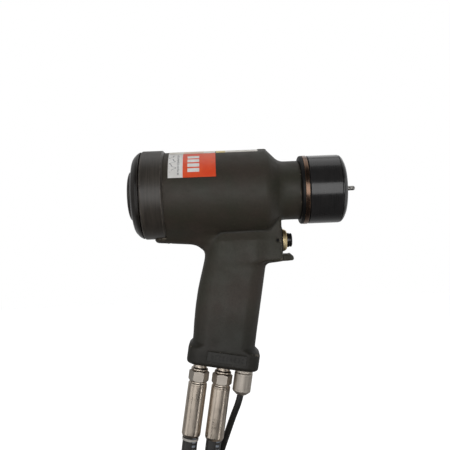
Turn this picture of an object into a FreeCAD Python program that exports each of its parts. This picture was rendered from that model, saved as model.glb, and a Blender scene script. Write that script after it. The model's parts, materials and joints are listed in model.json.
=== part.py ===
import FreeCAD, Part
import math
import os

import Sketcher

# Hydraulic rivet (lockbolt) installation tool, pistol grip, with two pressure hoses and a control cord.
# Frame: origin at the centre of the grip, +X forward to the nose, +Z up, millimetres. The barrel axis lies
# above the origin, parallel to X. The grip leans back, so that its lower end is behind its upper end.

Vector = FreeCAD.Vector
Y_AXIS = Vector(0, 1, 0)

document = FreeCAD.newDocument("rivet_tool")
sheet = document.addObject("Spreadsheet::Sheet", "Sizes")
parts = []


# ---------------------------------------------------------------- sizes

class Size:
    """A length or angle, held with the spreadsheet expression that gives it."""

    def __init__(self, value, text):
        self.value = value
        self.text = text

    def __add__(self, other):
        other = size(other)
        return Size(self.value + other.value, f"({self.text} + {other.text})")

    def __sub__(self, other):
        other = size(other)
        return Size(self.value - other.value, f"({self.text} - {other.text})")

    def __mul__(self, other):
        other = size(other)
        return Size(self.value * other.value, f"({self.text} * {other.text})")

    def __truediv__(self, other):
        other = size(other)
        return Size(self.value / other.value, f"({self.text} / {other.text})")

    def __neg__(self):
        return Size(-self.value, f"(0 - {self.text})")

    def __rsub__(self, other):
        return size(other) - self

    __radd__ = __add__
    __rmul__ = __mul__


def size(number):
    """A plain number as a Size; a Size stays as it is."""
    return number if isinstance(number, Size) else Size(float(number), f"({float(number)!r})")


def cell(name, number):
    """Write one driving dimension to the sheet, and return it as a Size."""
    cell.row += 1
    sheet.set(f"A{cell.row}", name)
    sheet.set(f"B{cell.row}", repr(number))
    sheet.setAlias(f"B{cell.row}", name)
    return Size(float(number), f"Sizes.{name}")


cell.row = 0


def sine(angle):
    return Size(math.sin(math.radians(angle.value)), f"sin({angle.text})")


def cosine(angle):
    return Size(math.cos(math.radians(angle.value)), f"cos({angle.text})")


# Frame and barrel
axis_height = cell("axis_height", 100.0)
rake = cell("grip_rake", 9.85)
barrel_r = cell("barrel_radius", 38.7)
neck_r = cell("neck_radius", 27.1)
bore_r = cell("bore_radius", 32.0)
casting_rear = cell("casting_rear", -72.0)
barrel_front = cell("barrel_front", 38.2)
neck_rear = cell("neck_rear", 52.0)
spigot_start = cell("spigot_start", 68.4)
spigot_end = cell("spigot_end", 88.0)
spigot_r = cell("spigot_radius", 26.0)
bore_front = cell("bore_front", 18.0)
gland_front = cell("gland_front", 36.0)
gland_r = cell("gland_radius", 18.0)
collet_bore_r = cell("collet_bore_radius", 17.0)
cap_seat_r = cell("cap_seat_radius", 34.0)
cap_seat_front = cell("cap_seat_front", -55.0)
feed_x = cell("cylinder_feed_x", -51.5)

# Rear cap and band
cap_r = cell("cap_ring_radius", 40.9)
cap_front = cell("cap_ring_front", -54.3)
cap_rear = cell("cap_ring_rear", -75.1)
cap_spigot_r = cell("cap_spigot_radius", 37.5)
dome_front = cell("dome_front", -75.9)
dome_tip = cell("dome_tip", -88.6)
dome_r = cell("dome_radius", 40.2)
boss_r = cell("dome_boss_radius", 23.0)

# Nose
nose_r = cell("nose_radius", 31.4)
guard_rear = cell("guard_ring_rear", 68.5)
ring_rear = cell("lock_ring_rear", 71.4)
ring_front = cell("lock_ring_front", 75.2)
collar_rear = cell("collar_rear", 76.2)
collar_front = cell("collar_front", 104.3)
plate_rear = cell("nose_plate_rear", 104.7)
plate_front = cell("nose_plate_front", 109.4)
pin_r = cell("pin_radius", 2.15)
pin_tip = cell("pin_tip", 120.8)

# Piston, rod and collet
rod_r = cell("rod_radius", 12.0)
piston_rear = cell("piston_rear", -10.0)
piston_front = cell("piston_front", 12.0)
collet_rear = cell("collet_rear", 62.0)
collet_front = cell("collet_front", 97.0)
collet_r = cell("collet_radius", 16.0)
cone_start = cell("cone_start", 81.2)
cone_r = cell("cone_radius", 11.3)
cone_mouth_r = cell("cone_mouth_radius", 5.5)

# Grip, in the grip frame: along runs down the grip, across runs forward
grip_half = cell("grip_half_thickness", 19.0)
base_half = cell("base_half_thickness", 22.0)
base_bottom = cell("base_bottom", 59.4)
housing_front = cell("housing_front", 50.2)
housing_half = cell("housing_half_thickness", 15.5)
trigger_height = cell("trigger_height", 54.0)
rear_port = cell("rear_port_across", -18.4)
front_port = cell("front_port_across", 3.3)
cord_port = cell("cord_port_across", 22.6)
recess_top = cell("recess_top", 45.2)
recess_bottom = cell("recess_bottom", 54.2)
recess_rear = cell("recess_rear", -13.2)
recess_front = cell("recess_front", 22.6)

# Trigger
trigger_bore_r = cell("trigger_bore_radius", 8.4)
button_r = cell("button_radius", 6.65)
button_front = cell("button_front", 60.4)
screw_x = cell("set_screw_x", 46.2)
screw_height = cell("set_screw_height", 54.6)

# Hoses and cord
hose_r = cell("hose_radius", 7.05)
ferrule_r = cell("ferrule_radius", 8.85)
ferrule_end = cell("ferrule_end", 129.5)
cord_r = cell("cord_radius", 3.1)
loop_x = cell("loop_centre_x", 60.0)
loop_z = cell("loop_centre_z", -264.0)
loop_r = cell("loop_radius", 82.0)
hose_spacing = cell("hose_spacing", 23.0)
loop_shift = cell("loop_side_shift", -27.0)

document.recompute()
fit_gap = 0.05


# ---------------------------------------------------------------- building helpers

class Place:
    """Where a body's own frame lies: an origin, and a turn about Y in degrees."""

    def __init__(self, x, y, z, turn=None):
        self.base = (size(x), size(y), size(z))
        self.turn = turn

    def apply(self, item):
        angle = self.turn.value if self.turn else 0.0
        start = Vector(*(axis.value for axis in self.base))
        item.Placement = FreeCAD.Placement(start, FreeCAD.Rotation(Y_AXIS, angle))
        for name, axis in zip("xyz", self.base):
            item.setExpression(f"Placement.Base.{name}", axis.text)
        if self.turn:
            item.setExpression("Placement.Rotation.Angle", self.turn.text)


barrel_frame = Place(0, 0, axis_height)
trigger_frame = Place(0, 0, trigger_height)


def grip_frame(across):
    """Own X runs down the grip from its centre, own Z forward, moved forward by `across`."""
    across = size(across)
    return Place(across * cosine(rake), 0, -(across * sine(rake)), rake + 90)


def new_body(label, place):
    body = document.addObject("PartDesign::Body", label)
    body.Label = label
    place.apply(body)
    parts.append(body)
    return body


def new_sketch(body, name, role, offset=None, turn=None):
    """An empty sketch on one of the body's own origin planes, with an offset and a turn about Y."""
    sketch = body.newObject("Sketcher::SketchObject", name)
    plane = next(item for item in body.Origin.OriginFeatures if item.Role == role)
    sketch.AttachmentSupport = [(plane, "")]
    sketch.MapMode = "FlatFace"
    if offset:
        start = Vector(*(axis.value for axis in offset))
        angle = turn.value if turn else 0.0
        sketch.AttachmentOffset = FreeCAD.Placement(start, FreeCAD.Rotation(Y_AXIS, angle))
        for letter, axis in zip("xyz", offset):
            sketch.setExpression(f"AttachmentOffset.Base.{letter}", axis.text)
        if turn:
            sketch.setExpression("AttachmentOffset.Rotation.Angle", turn.text)
    return sketch


def bind(sketch, kind, where, value):
    """Add one constraint, driven by the sheet."""
    index = sketch.addConstraint(Sketcher.Constraint(kind, *where, value.value))
    sketch.setExpression(f"Constraints[{index}]", value.text)


def bulge_centre(start, end, radius):
    """Centre of the arc from start to end; a positive radius puts it on the left of the way."""
    chord = end - start
    half = chord.Length / 2
    rise = math.sqrt(max(radius * radius - half * half, 0.0))
    side = Vector(-chord.y, chord.x, 0).normalize()
    return (start + end) / 2 + side * math.copysign(rise, radius)


def outline(sketch, corners):
    """A closed outline. A corner is (x, z), or (x, z, radius) where an arc of that radius comes to it."""
    corners = [tuple(size(item) for item in corner) for corner in corners]
    first = sketch.GeometryCount
    starts, ends = [], []
    for index, corner in enumerate(corners):
        following = corners[(index + 1) % len(corners)]
        start = Vector(corner[0].value, corner[1].value, 0)
        end = Vector(following[0].value, following[1].value, 0)
        forward = len(following) == 2 or following[2].value > 0
        if len(following) == 2:
            sketch.addGeometry(Part.LineSegment(start, end))
        else:
            radius = following[2].value
            centre = bulge_centre(start, end, radius)
            middle = centre + ((start + end) / 2 - centre).normalize() * abs(radius)
            sketch.addGeometry(Part.ArcOfCircle(start, middle, end))
        starts.append((first + index, 1 if forward else 2))
        ends.append((first + index, 2 if forward else 1))
    for index, corner in enumerate(corners):
        sketch.addConstraint(Sketcher.Constraint("Coincident", *ends[index - 1], *starts[index]))
        bind(sketch, "DistanceX", (-1, 1, *starts[index]), corner[0])
        bind(sketch, "DistanceY", (-1, 1, *starts[index]), corner[1])
        if len(corner) == 3:
            distance = corner[2] if corner[2].value > 0 else -corner[2]
            bind(sketch, "Radius", (ends[index - 1][0],), distance)


def ring(sketch, x, z, radius):
    """A circle at (x, z)."""
    centre = Vector(size(x).value, size(z).value, 0)
    index = sketch.addGeometry(Part.Circle(centre, Vector(0, 0, 1), radius.value))
    bind(sketch, "DistanceX", (-1, 1, index, 3), size(x))
    bind(sketch, "DistanceY", (-1, 1, index, 3), size(z))
    bind(sketch, "Radius", (index,), size(radius))


def feature(body, kind, sketch, **values):
    """Add a PartDesign feature made from a sketch, and check that it changed the volume."""
    before = body.Shape.Volume if body.Tip else 0.0
    item = body.newObject(f"PartDesign::{kind}", f"{body.Label}_{kind}")
    item.Profile = sketch
    for name, value in values.items():
        if isinstance(value, Size):
            setattr(item, name, value.value)
            item.setExpression(name, value.text)
        else:
            setattr(item, name, value)
    document.recompute()
    if abs(body.Shape.Volume - before) < 1e-3:
        raise RuntimeError(f"{item.Name} changes nothing")
    return item


def turned(label, place, corners, angle=360, **values):
    """A piece turned about its own X axis; the outline's corners are (x, radius)."""
    body = new_body(label, place)
    sketch = new_sketch(body, f"{label}_outline", "XZ_Plane")
    outline(sketch, corners)
    feature(body, "Revolution", sketch, ReferenceAxis=(sketch, ["H_Axis"]), Angle=angle, **values)
    return body


def turn_away(body, name, corners):
    """Cut a turned hollow about the body's own X axis."""
    sketch = new_sketch(body, f"{body.Label}_{name}", "XZ_Plane")
    outline(sketch, corners)
    return feature(body, "Groove", sketch, ReferenceAxis=(sketch, ["H_Axis"]), Angle=360)


def tube_outline(start, end, outer, inner, chamfer=0.0):
    """Corners of a plain ring or sleeve, with both outer edges chamfered."""
    start, end, outer, inner = (size(item) for item in (start, end, outer, inner))
    if not chamfer:
        return [(start, inner), (end, inner), (end, outer), (start, outer)]
    return [(start, inner), (end, inner), (end, outer - chamfer), (end - chamfer, outer),
            (start + chamfer, outer), (start, outer - chamfer)]


def sleeve(label, place, start, end, outer, inner, chamfer=0.0):
    return turned(label, place, tube_outline(start, end, outer, inner, chamfer))


def seal_ring(label, place, middles, centre_r, section_r):
    """One or more round-section rings on one axis, in one node."""
    body = new_body(label, place)
    sketch = new_sketch(body, f"{label}_section", "XZ_Plane")
    for middle in middles:
        ring(sketch, middle, centre_r, size(section_r))
    feature(body, "Revolution", sketch, ReferenceAxis=(sketch, ["H_Axis"]), Angle=360)
    return body


def hexagon(sketch, flats):
    """A hexagon about the sketch's origin, `flats` across its flats, with a flat to each side."""
    corner = size(flats) / 2 / cosine(size(30))
    outline(sketch, [(corner * cosine(size(60 * turn)), corner * sine(size(60 * turn))) for turn in range(6)])


def hexagon_nut(label, place, start, end, flats, bore):
    """A hexagon nut along its own X, with its corners turned off at both ends."""
    start, end, flats = size(start), size(end), size(flats)
    body = new_body(label, place)
    sketch = new_sketch(body, f"{label}_hexagon", "YZ_Plane", (size(0), size(0), start))
    hexagon(sketch, flats)
    ring(sketch, 0, 0, size(bore))
    feature(body, "Pad", sketch, Length=end - start)
    corner = flats / 2 / cosine(size(30))
    land = flats / 2
    cut = (corner - land) * 0.6
    reach = corner + 1
    for name, face, inward in (("near_corners", start, 1), ("far_corners", end, -1)):
        turn_away(body, name, [(face, land), (face + cut * inward, reach), (face - inward, reach),
                               (face - inward, land)])
    return body


def drilled(body, name, place, turn, radius, depth):
    """Drill a round hole from `place` up the turned Z axis."""
    sketch = new_sketch(body, f"{body.Label}_{name}", "XY_Plane", place, turn)
    ring(sketch, 0, 0, size(radius))
    return feature(body, "Pocket", sketch, Length=size(depth), Reversed=True)


# ---------------------------------------------------------------- casting

def in_casting(along, across):
    """A point of the grip frame in the casting's own frame, whose origin is on the barrel axis."""
    along, across = size(along), size(across)
    x = across * cosine(rake) - along * sine(rake)
    z = -(along * cosine(rake)) - across * sine(rake) - axis_height
    return x, z


def plate_corners(gap):
    """Corners of the plate's recess in the base, moved inward by `gap`."""
    top, bottom = recess_top + gap, recess_bottom - gap
    rear, front = recess_rear + gap, recess_front - gap
    return [in_casting(top, rear), in_casting(top, front), in_casting(bottom, front), in_casting(bottom, rear)]


def grip_section(body, name, along, rear, front, half, rear_round, front_round):
    """One cross-section of the grip, square to the grip: a rounded outline with a softer rear."""
    x, z = in_casting(along, 0)
    sketch = new_sketch(body, f"casting_{name}", "XY_Plane", (x, size(0), z), rake)
    rear, front, half = size(rear), size(front), size(half)
    rear_round, front_round = size(rear_round), size(front_round)
    outline(sketch, [
        (rear + rear_round, -half, rear_round), (front - front_round, -half),
        (front, front_round - half, front_round), (front, half - front_round),
        (front - front_round, half, front_round), (rear + rear_round, half),
        (rear, half - rear_round, rear_round), (rear, rear_round - half),
    ])
    return sketch


def rounded_plan(rear, front, half, corner):
    """Plan outline, square behind and rounded at its two front corners."""
    return [(rear, -half), (front - corner, -half), (front, corner - half, corner), (front, half - corner),
            (front - corner, half, corner), (rear, half)]


def rib_section(body, name, x, bottom, half, corner):
    """One cross-section of the rib under the barrel, square to the barrel, with rounded lower edges."""
    sketch = new_sketch(body, name, "YZ_Plane", (size(0), size(0), size(x)))
    outline(sketch, [(-half, -34.0), (-half, bottom + corner), (corner - half, bottom, corner),
                     (half - corner, bottom), (half, bottom + corner, corner), (half, -34.0)])
    return sketch


def make_casting():
    """Barrel, neck, grip, trigger housing, finger lug and base in one casting, bored for the works."""
    body = new_body("handle_body", barrel_frame)
    barrel = new_sketch(body, "barrel_outline", "XZ_Plane")
    outline(barrel, [
        (casting_rear, 0), (spigot_end, 0), (spigot_end, spigot_r - 0.8), (spigot_end - 0.8, spigot_r),
        (spigot_start, spigot_r), (spigot_start, neck_r), (neck_rear + 5, neck_r),
        (neck_rear - 1, neck_r + 1.4, -12), (barrel_front + 3.5, barrel_r - 1.2),
        (barrel_front - 2, barrel_r, 9), (cap_front, barrel_r), (cap_front, cap_spigot_r),
        (casting_rear, cap_spigot_r),
    ])
    feature(body, "Revolution", barrel, ReferenceAxis=(barrel, ["H_Axis"]), Angle=360)

    # The rib under the barrel, with a tongue under the rear band, carries the drilled oil gallery
    rib = [rib_section(body, "rib_end", -66.8, -42.6, 14.0, 5.0),
           rib_section(body, "rib_tongue", -65.2, -44.6, 15.0, 6.0),
           rib_section(body, "rib_root", -10.0, -49.0, 16.0, 6.0)]
    feature(body, "AdditiveLoft", rib[0], Sections=rib[1:], Ruled=True)
    web = new_sketch(body, "rib_to_grip", "XZ_Plane")
    outline(web, [(-33.0, -46.0, 12.5), (-10.0, -46.0), (-10.0, -60.0), (-19.4, -58.4)])
    feature(body, "Pad", web, Length=26.0, SideType="Symmetric")

    # Grip: sections from inside the barrel down to the base, with a palm swell behind
    sections = [
        grip_section(body, "grip_root", -76, -25.5, 29.0, grip_half - 3, 13, 11),
        grip_section(body, "grip_top", -44, -27.0, 29.4, grip_half - 2.5, 14, 11),
        grip_section(body, "grip_upper", -16, -29.2, 29.2, grip_half - 0.5, 16, 12),
        grip_section(body, "grip_middle", 9, -30.0, 29.2, grip_half, 17, 12),
        grip_section(body, "grip_lower", 37, -28.4, 29.2, grip_half, 15, 11),
    ]
    feature(body, "AdditiveLoft", sections[0], Sections=sections[1:])
    base_top = grip_section(body, "base_top", 37, -28.4, 29.2, grip_half, 15, 11)
    base_shoulder = grip_section(body, "base_shoulder", 44, -31.3, 34.6, base_half, 13, 9)
    feature(body, "AdditiveLoft", base_top, Sections=[base_shoulder], Ruled=True)
    base_block = grip_section(body, "base_block", 44, -31.3, 34.6, base_half, 13, 9)
    feature(body, "Pad", base_block, Length=base_bottom - 44, Reversed=True)

    # Trigger housing in front of the grip, rounded at its front corners
    housing = new_sketch(body, "housing_plan", "XY_Plane", (size(0), size(0), size(-62.5)))
    outline(housing, rounded_plan(10.0, housing_front, housing_half, 5.0))
    feature(body, "Pad", housing, Length=37.5)
    throat = new_sketch(body, "throat_side", "XZ_Plane")
    outline(throat, [(10, -58.0), (49.0, -58.0), (49.0, -65.0), (43.5, -65.1), (33.0, -76.0, 12.0), (10, -80)])
    feature(body, "Pad", throat, Length=27.0, SideType="Symmetric")

    # Finger lug under the trigger: a rounded plate with a bevelled tip and a dished upper side
    lug = new_sketch(body, "lug_plan", "XY_Plane", (size(0), size(0), size(-64.8)))
    outline(lug, rounded_plan(38.0, size(62.0), size(13.5), 5.5))
    feature(body, "Pad", lug, Length=6.2)
    tip = new_sketch(body, "lug_tip", "XZ_Plane")
    outline(tip, [(57.6, -58.5), (63.0, -58.5), (63.0, -63.6), (62.0, -62.6)])
    feature(body, "Pocket", tip, Length=40.0, SideType="Symmetric")
    dish = new_sketch(body, "lug_dish", "XZ_Plane")
    outline(dish, [(52.6, -58.0), (52.6, -60.4), (58.8, -60.4), (60.6, -58.0)])
    feature(body, "Pocket", dish, Length=9.0, SideType="Symmetric")

    # Cylinder, gland seat, collet chamber and end-cap seat, turned in one line from the rear
    turn_away(body, "works_bore", [
        (casting_rear - 1, 0), (spigot_end + 1, 0), (spigot_end + 1, collet_bore_r),
        (gland_front, collet_bore_r), (gland_front, gland_r + fit_gap),
        (bore_front + 4, gland_r + fit_gap), (bore_front + 4, 24 + fit_gap),
        (bore_front, 24 + fit_gap), (bore_front, bore_r), (cap_seat_front, bore_r),
        (cap_seat_front, cap_seat_r), (casting_rear - 1, cap_seat_r),
    ])
    # Room for the rear band, above the rib's tongue
    turn_away(body, "band_seat", [(casting_rear - 1, cap_spigot_r), (cap_front, cap_spigot_r),
                                  (cap_front, cap_r + 0.1), (casting_rear - 1, cap_r + 0.1)])

    # Trigger bore with its wider switch chamber behind
    trigger = new_sketch(body, "trigger_bore", "YZ_Plane",
                         (size(0), trigger_height - axis_height, housing_front + 1))
    ring(trigger, 0, 0, trigger_bore_r)
    feature(body, "Pocket", trigger, Length=housing_front + 1 - 21.5)

    # Oil ports, galleries and the cord's channel, drilled up from the base along the grip
    for name, across, port_r, port_depth, channel_r, channel_top in (
            ("rear_port", rear_port, 6.8, 14.0, 2.6, -60.0),
            ("front_port", front_port, 6.8, 14.0, 2.6, -70.5),
            ("cord_port", cord_port, 6.1, 12.0, 3.5, -44.0)):
        x, z = in_casting(base_bottom + 1, across)
        drilled(body, name, (x, size(0), z), rake, port_r, port_depth + 1)
        drilled(body, f"{name}_channel", (x, size(0), z), rake, channel_r, base_bottom + 1 - channel_top)

    # Rear gallery along the rib, and the drilling from under the rib up into the cylinder's rear end
    gallery = new_sketch(body, "rib_gallery", "YZ_Plane", (size(0), size(-38.2), feed_x))
    ring(gallery, 0, 0, size(2.4))
    feature(body, "Pocket", gallery, Length=-feed_x - 6, Reversed=True)
    drilled(body, "cylinder_feed", (feed_x, size(0), size(-47.0)), None, 2.2, 17.0)
    drilled(body, "feed_mouth", (feed_x, size(0), size(-47.0)), None, 3.2, 6.0)

    # Set-screw hole in the side of the trigger housing
    screw = new_sketch(body, "screw_hole", "XZ_Plane", (screw_x, screw_height - axis_height, size(18.0)))
    ring(screw, 0, 0, size(1.45))
    feature(body, "Pocket", screw, Length=10.5)

    # Shallow recess for the plate in the side of the base
    recess = new_sketch(body, "plate_recess", "XZ_Plane")
    outline(recess, plate_corners(0.0))
    recess.AttachmentOffset = FreeCAD.Placement(Vector(0, 0, base_half.value - 0.8), FreeCAD.Rotation())
    recess.setExpression("AttachmentOffset.Base.z", (base_half - 0.8).text)
    feature(body, "Pocket", recess, Length=3.0, Reversed=True)
    return body


# ---------------------------------------------------------------- rear cap

def make_rear():
    """Rear band on the casting's spigot, and the domed end cap screwed into the cylinder."""
    sleeve("cap_ring", barrel_frame, cap_rear, cap_front, cap_r, cap_spigot_r + fit_gap, 1.2)

    skirt_r = cap_seat_r - fit_gap
    groove_r = 31.2
    turned("end_cap", barrel_frame, [
        (dome_tip, 0), (dome_tip, boss_r - 6.0), (dome_tip + 1.3, boss_r - 1.0, -12.0),
        (dome_tip + 2.8, boss_r), (-84.6, boss_r + 2.2), (-83.5, 32.0, -30.0), (-80.6, 37.0, -8.0),
        (dome_front, dome_r, -9.0),
        (dome_front, skirt_r), (-64.6, skirt_r), (-64.6, groove_r), (-61.2, groove_r), (-61.2, skirt_r),
        (cap_seat_front - 0.1, skirt_r), (cap_seat_front - 0.1, 26.0), (-78.0, 26.0), (-82.0, 20.0), (-82.0, 0),
    ])
    seal_ring("end_cap_seal", barrel_frame, [-62.9], 32.6, 1.3)
    turned("gallery_plug", Place(feed_x, 0, axis_height, size(90)), [
        (41.1, 0), (41.1, 3.15), (45.4, 3.15), (45.4, 1.6), (43.6, 0)])


# ---------------------------------------------------------------- nose

def make_nose():
    """Front gland with its seals, lock ring, spacer, collar and front plate."""
    gland_rear = bore_front
    turned("front_gland", barrel_frame, [
        (gland_rear, rod_r + fit_gap), (24.0, rod_r + fit_gap), (24.0, 14.6), (27.4, 14.6),
        (27.4, rod_r + fit_gap), (33.0, rod_r + fit_gap), (33.0, 14.2), (gland_front, 14.2),
        (gland_front, gland_r), (31.6, gland_r), (31.6, 16.0), (28.8, 16.0), (28.8, gland_r),
        (gland_rear + 4, gland_r), (gland_rear + 4, 24.0), (gland_rear, 24.0),
    ])
    seal_ring("gland_seal", barrel_frame, [30.2], 17.0, 0.98)
    sleeve("rod_seal", barrel_frame, 24.1, 27.3, 14.55, rod_r + fit_gap, 0.3)
    sleeve("rod_wiper", barrel_frame, 33.1, 35.9, 14.15, rod_r + fit_gap, 0.5)

    thread_r = spigot_r + fit_gap
    turned("guard_ring", barrel_frame, [
        (guard_rear, thread_r), (ring_rear, thread_r), (ring_rear, nose_r + 0.1),
        (guard_rear + 1.4, nose_r + 0.1), (guard_rear, nose_r - 1.4, 1.6)])
    turned("lock_ring", barrel_frame, tube_outline(ring_rear, ring_front, nose_r + 0.3, thread_r, 0.3))
    sleeve("spacer_washer", barrel_frame, ring_front, collar_rear, nose_r - 1.2, thread_r)
    turned("nose_collar", barrel_frame, [
        (collar_rear, thread_r), (spigot_end + 0.3, thread_r), (spigot_end + 0.3, collet_bore_r + 0.5),
        (collar_front, collet_bore_r + 0.5), (collar_front, nose_r - 0.3), (collar_front - 0.3, nose_r),
        (collar_rear + 0.3, nose_r), (collar_rear, nose_r - 0.3)])
    turned("nose_plate", barrel_frame, [
        (99.3, 4.0), (plate_front, 4.0), (plate_front, 11.0), (plate_front - 0.8, 12.0),
        (plate_front - 0.8, 23.5), (plate_front, 24.5), (plate_front, 25.6), (plate_front - 0.7, 26.6),
        (plate_rear + 0.7, nose_r - 0.3, 7.5), (plate_rear, nose_r - 0.6), (plate_rear, 29.4),
        (collar_front, 29.4), (collar_front, collet_bore_r + 0.4), (99.3, collet_bore_r + 0.4)])


# ---------------------------------------------------------------- piston, collet and jaws

def make_piston_group():
    """Piston with its rod and seals, the collet on the rod, jaws, follower, spring and ejector pin."""
    head_r = bore_r - fit_gap
    turned("piston", barrel_frame, [
        (piston_rear, 0), (piston_rear, head_r - 1.5), (piston_rear + 1.5, head_r),
        (-7.0, head_r), (-7.0, 30.0), (-4.0, 30.0), (-4.0, head_r),
        (-1.5, head_r), (-1.5, 28.4), (2.5, 28.4), (2.5, head_r),
        (6.0, head_r), (6.0, 30.0), (9.0, 30.0), (9.0, head_r),
        (piston_front - 1, head_r), (piston_front, head_r - 1), (piston_front, 22.0),
        (bore_front - 0.4, 22.0), (bore_front - 0.4, rod_r), (collet_rear - 1, rod_r), (collet_rear, rod_r - 1),
        (collet_rear, 10.0), (70.0, 10.0), (70.0, 2.3), (60.0, 2.3), (60.0, 0),
    ])
    for label, middles, width, floor_r in (("piston_seal", [0.5], 3.8, 28.5),
                                           ("guide_rings", [-5.5, 7.5], 2.8, 30.1)):
        body = new_body(label, barrel_frame)
        sketch = new_sketch(body, f"{label}_section", "XZ_Plane")
        for middle in middles:
            outline(sketch, tube_outline(middle - width / 2, middle + width / 2, head_r, size(floor_r)))
        feature(body, "Revolution", sketch, ReferenceAxis=(sketch, ["H_Axis"]), Angle=360)

    turned("collet", barrel_frame, [
        (collet_rear + 0.1, 10.0 + fit_gap), (70.0, 10.0 + fit_gap), (70.0, cone_r), (cone_start, cone_r),
        (collet_front, cone_mouth_r), (collet_front, collet_r - 2), (collet_front - 2, collet_r),
        (76.0, collet_r), (75.0, 15.0), (72.0, 15.0), (71.0, collet_r), (collet_rear + 1.1, collet_r),
        (collet_rear + 0.1, collet_r - 1)])

    jaw_rear, jaw_front, clearance = size(84.0), size(98.4), 0.1
    slope = (cone_r - cone_mouth_r) / (collet_front - cone_start)
    jaw_rear_r = cone_r - clearance - slope * (jaw_rear - cone_start)
    jaw_front_r = cone_r - clearance - slope * (jaw_front - cone_start)
    for number in range(3):
        jaw = turned(f"jaw_{number + 1}", barrel_frame, [
            (jaw_rear, 2.4), (jaw_front, 2.4), (jaw_front, jaw_front_r), (jaw_rear, jaw_rear_r)],
            angle=116, Midplane=True)
        turn = FreeCAD.Rotation(Vector(1, 0, 0), 120 * number)
        jaw.Placement = FreeCAD.Placement(Vector(0, 0, axis_height.value), turn)
        jaw.setExpression("Placement.Base.z", axis_height.text)
    sleeve("jaw_follower", barrel_frame, 79.4, 83.9, 9.9, 2.6, 0.4)
    coil_spring("follower_spring", barrel_frame, 70.2, 79.2, 6.4, 0.8, 4)
    turned("ejector_pin", barrel_frame, [
        (60.4, 0), (pin_tip, 0), (pin_tip - 0.5, pin_r - 0.6, 1.6), (pin_tip - 1.6, pin_r, 2.2), (60.4, pin_r)])


def coil_spring(label, place, start, end, coil_r, wire_r, turns):
    """A round-wire spring about the own X axis."""
    body = new_body(label, place)
    sketch = new_sketch(body, f"{label}_wire", "XZ_Plane")
    ring(sketch, start + wire_r, coil_r, size(wire_r))
    rise = end - start - 2 * wire_r
    feature(body, "AdditiveHelix", sketch, ReferenceAxis=(sketch, ["H_Axis"]), Mode=0,
            Pitch=rise / turns, Height=rise)
    return body


# ---------------------------------------------------------------- trigger

def make_trigger():
    """Brass bezel on its dark rim, push button with its spring, switch, leads and side set screw."""
    front = housing_front
    seat_r = trigger_bore_r - 0.1
    turned("trigger_bezel", trigger_frame, [
        (40.5, 7.5), (48.8, 7.5), (48.8, button_r + fit_gap), (55.4, button_r + fit_gap), (55.4, 8.3),
        (front + 1.2, 10.4, 5.5), (front + 1.2, seat_r), (40.5, seat_r)])
    sleeve("bezel_gasket", trigger_frame, front, front + 1.2, 12.5, seat_r + fit_gap, 0.4)
    turned("trigger_button", trigger_frame, [
        (41.2, 0), (41.2, 2.0), (45.6, 2.0), (45.6, 7.2), (48.5, 7.2), (48.5, button_r),
        (58.0, button_r), (58.0, 6.1), (button_front - 0.7, 6.1), (button_front, 5.3), (button_front, 4.0),
        (button_front - 0.5, 3.2), (button_front - 0.5, 0)])
    coil_spring("trigger_spring", trigger_frame, 39.8, 45.4, 4.6, 0.5, 4)
    turned("switch_body", trigger_frame, [
        (23.0, 0), (23.0, 7.6), (39.6, 7.6), (39.6, 2.3), (35.0, 2.3), (35.0, 0)])

    screw = new_body("switch_set_screw", Place(screw_x, 0, screw_height))
    blank = new_sketch(screw, "set_screw_round", "XZ_Plane", (size(0), size(0), seat_r + 0.1))
    ring(blank, 0, 0, size(1.4))
    feature(screw, "Pad", blank, Length=5.0)
    socket = new_sketch(screw, "set_screw_socket", "XZ_Plane", (size(0), size(0), seat_r + 5.1))
    hexagon(socket, 1.3)
    feature(screw, "Pocket", socket, Length=2.0)

    leads = new_body("switch_leads", grip_frame(cord_port))
    pair = new_sketch(leads, "lead_sections", "YZ_Plane", (size(0), size(0), size(-39.0)))
    for side in (-1.45, 1.45):
        ring(pair, side, 0, size(1.2))
    feature(leads, "Pad", pair, Length=103.0)


# ---------------------------------------------------------------- base fittings

def make_hose_end(name, across):
    """Port nipple, hexagon nut and swaged ferrule of one hose, along the grip."""
    place = grip_frame(across)
    turned(f"{name}_nipple", place, [
        (47.5, 2.6), (75.0, 2.6), (75.0, 4.9), (67.8, 4.9), (67.8, 7.2), (67.2, 7.9), (65.9, 7.9),
        (64.7, 6.3), (base_bottom + 1.3, 6.3), (base_bottom, 6.75), (47.5, 6.75)])
    hexagon_nut(f"{name}_nut", place, 67.9, 77.8, 16.4, 5.0)
    turned(f"{name}_ferrule", place, [
        (75.2, 2.6), (126.9, 2.6), (126.9, hose_r + fit_gap), (ferrule_end, hose_r + fit_gap),
        (ferrule_end, ferrule_r - 1.0), (ferrule_end - 2.2, ferrule_r), (79.8, ferrule_r),
        (78.8, ferrule_r - 0.9), (77.9, ferrule_r - 0.9), (77.9, 4.9), (75.2, 4.9)])


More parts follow.
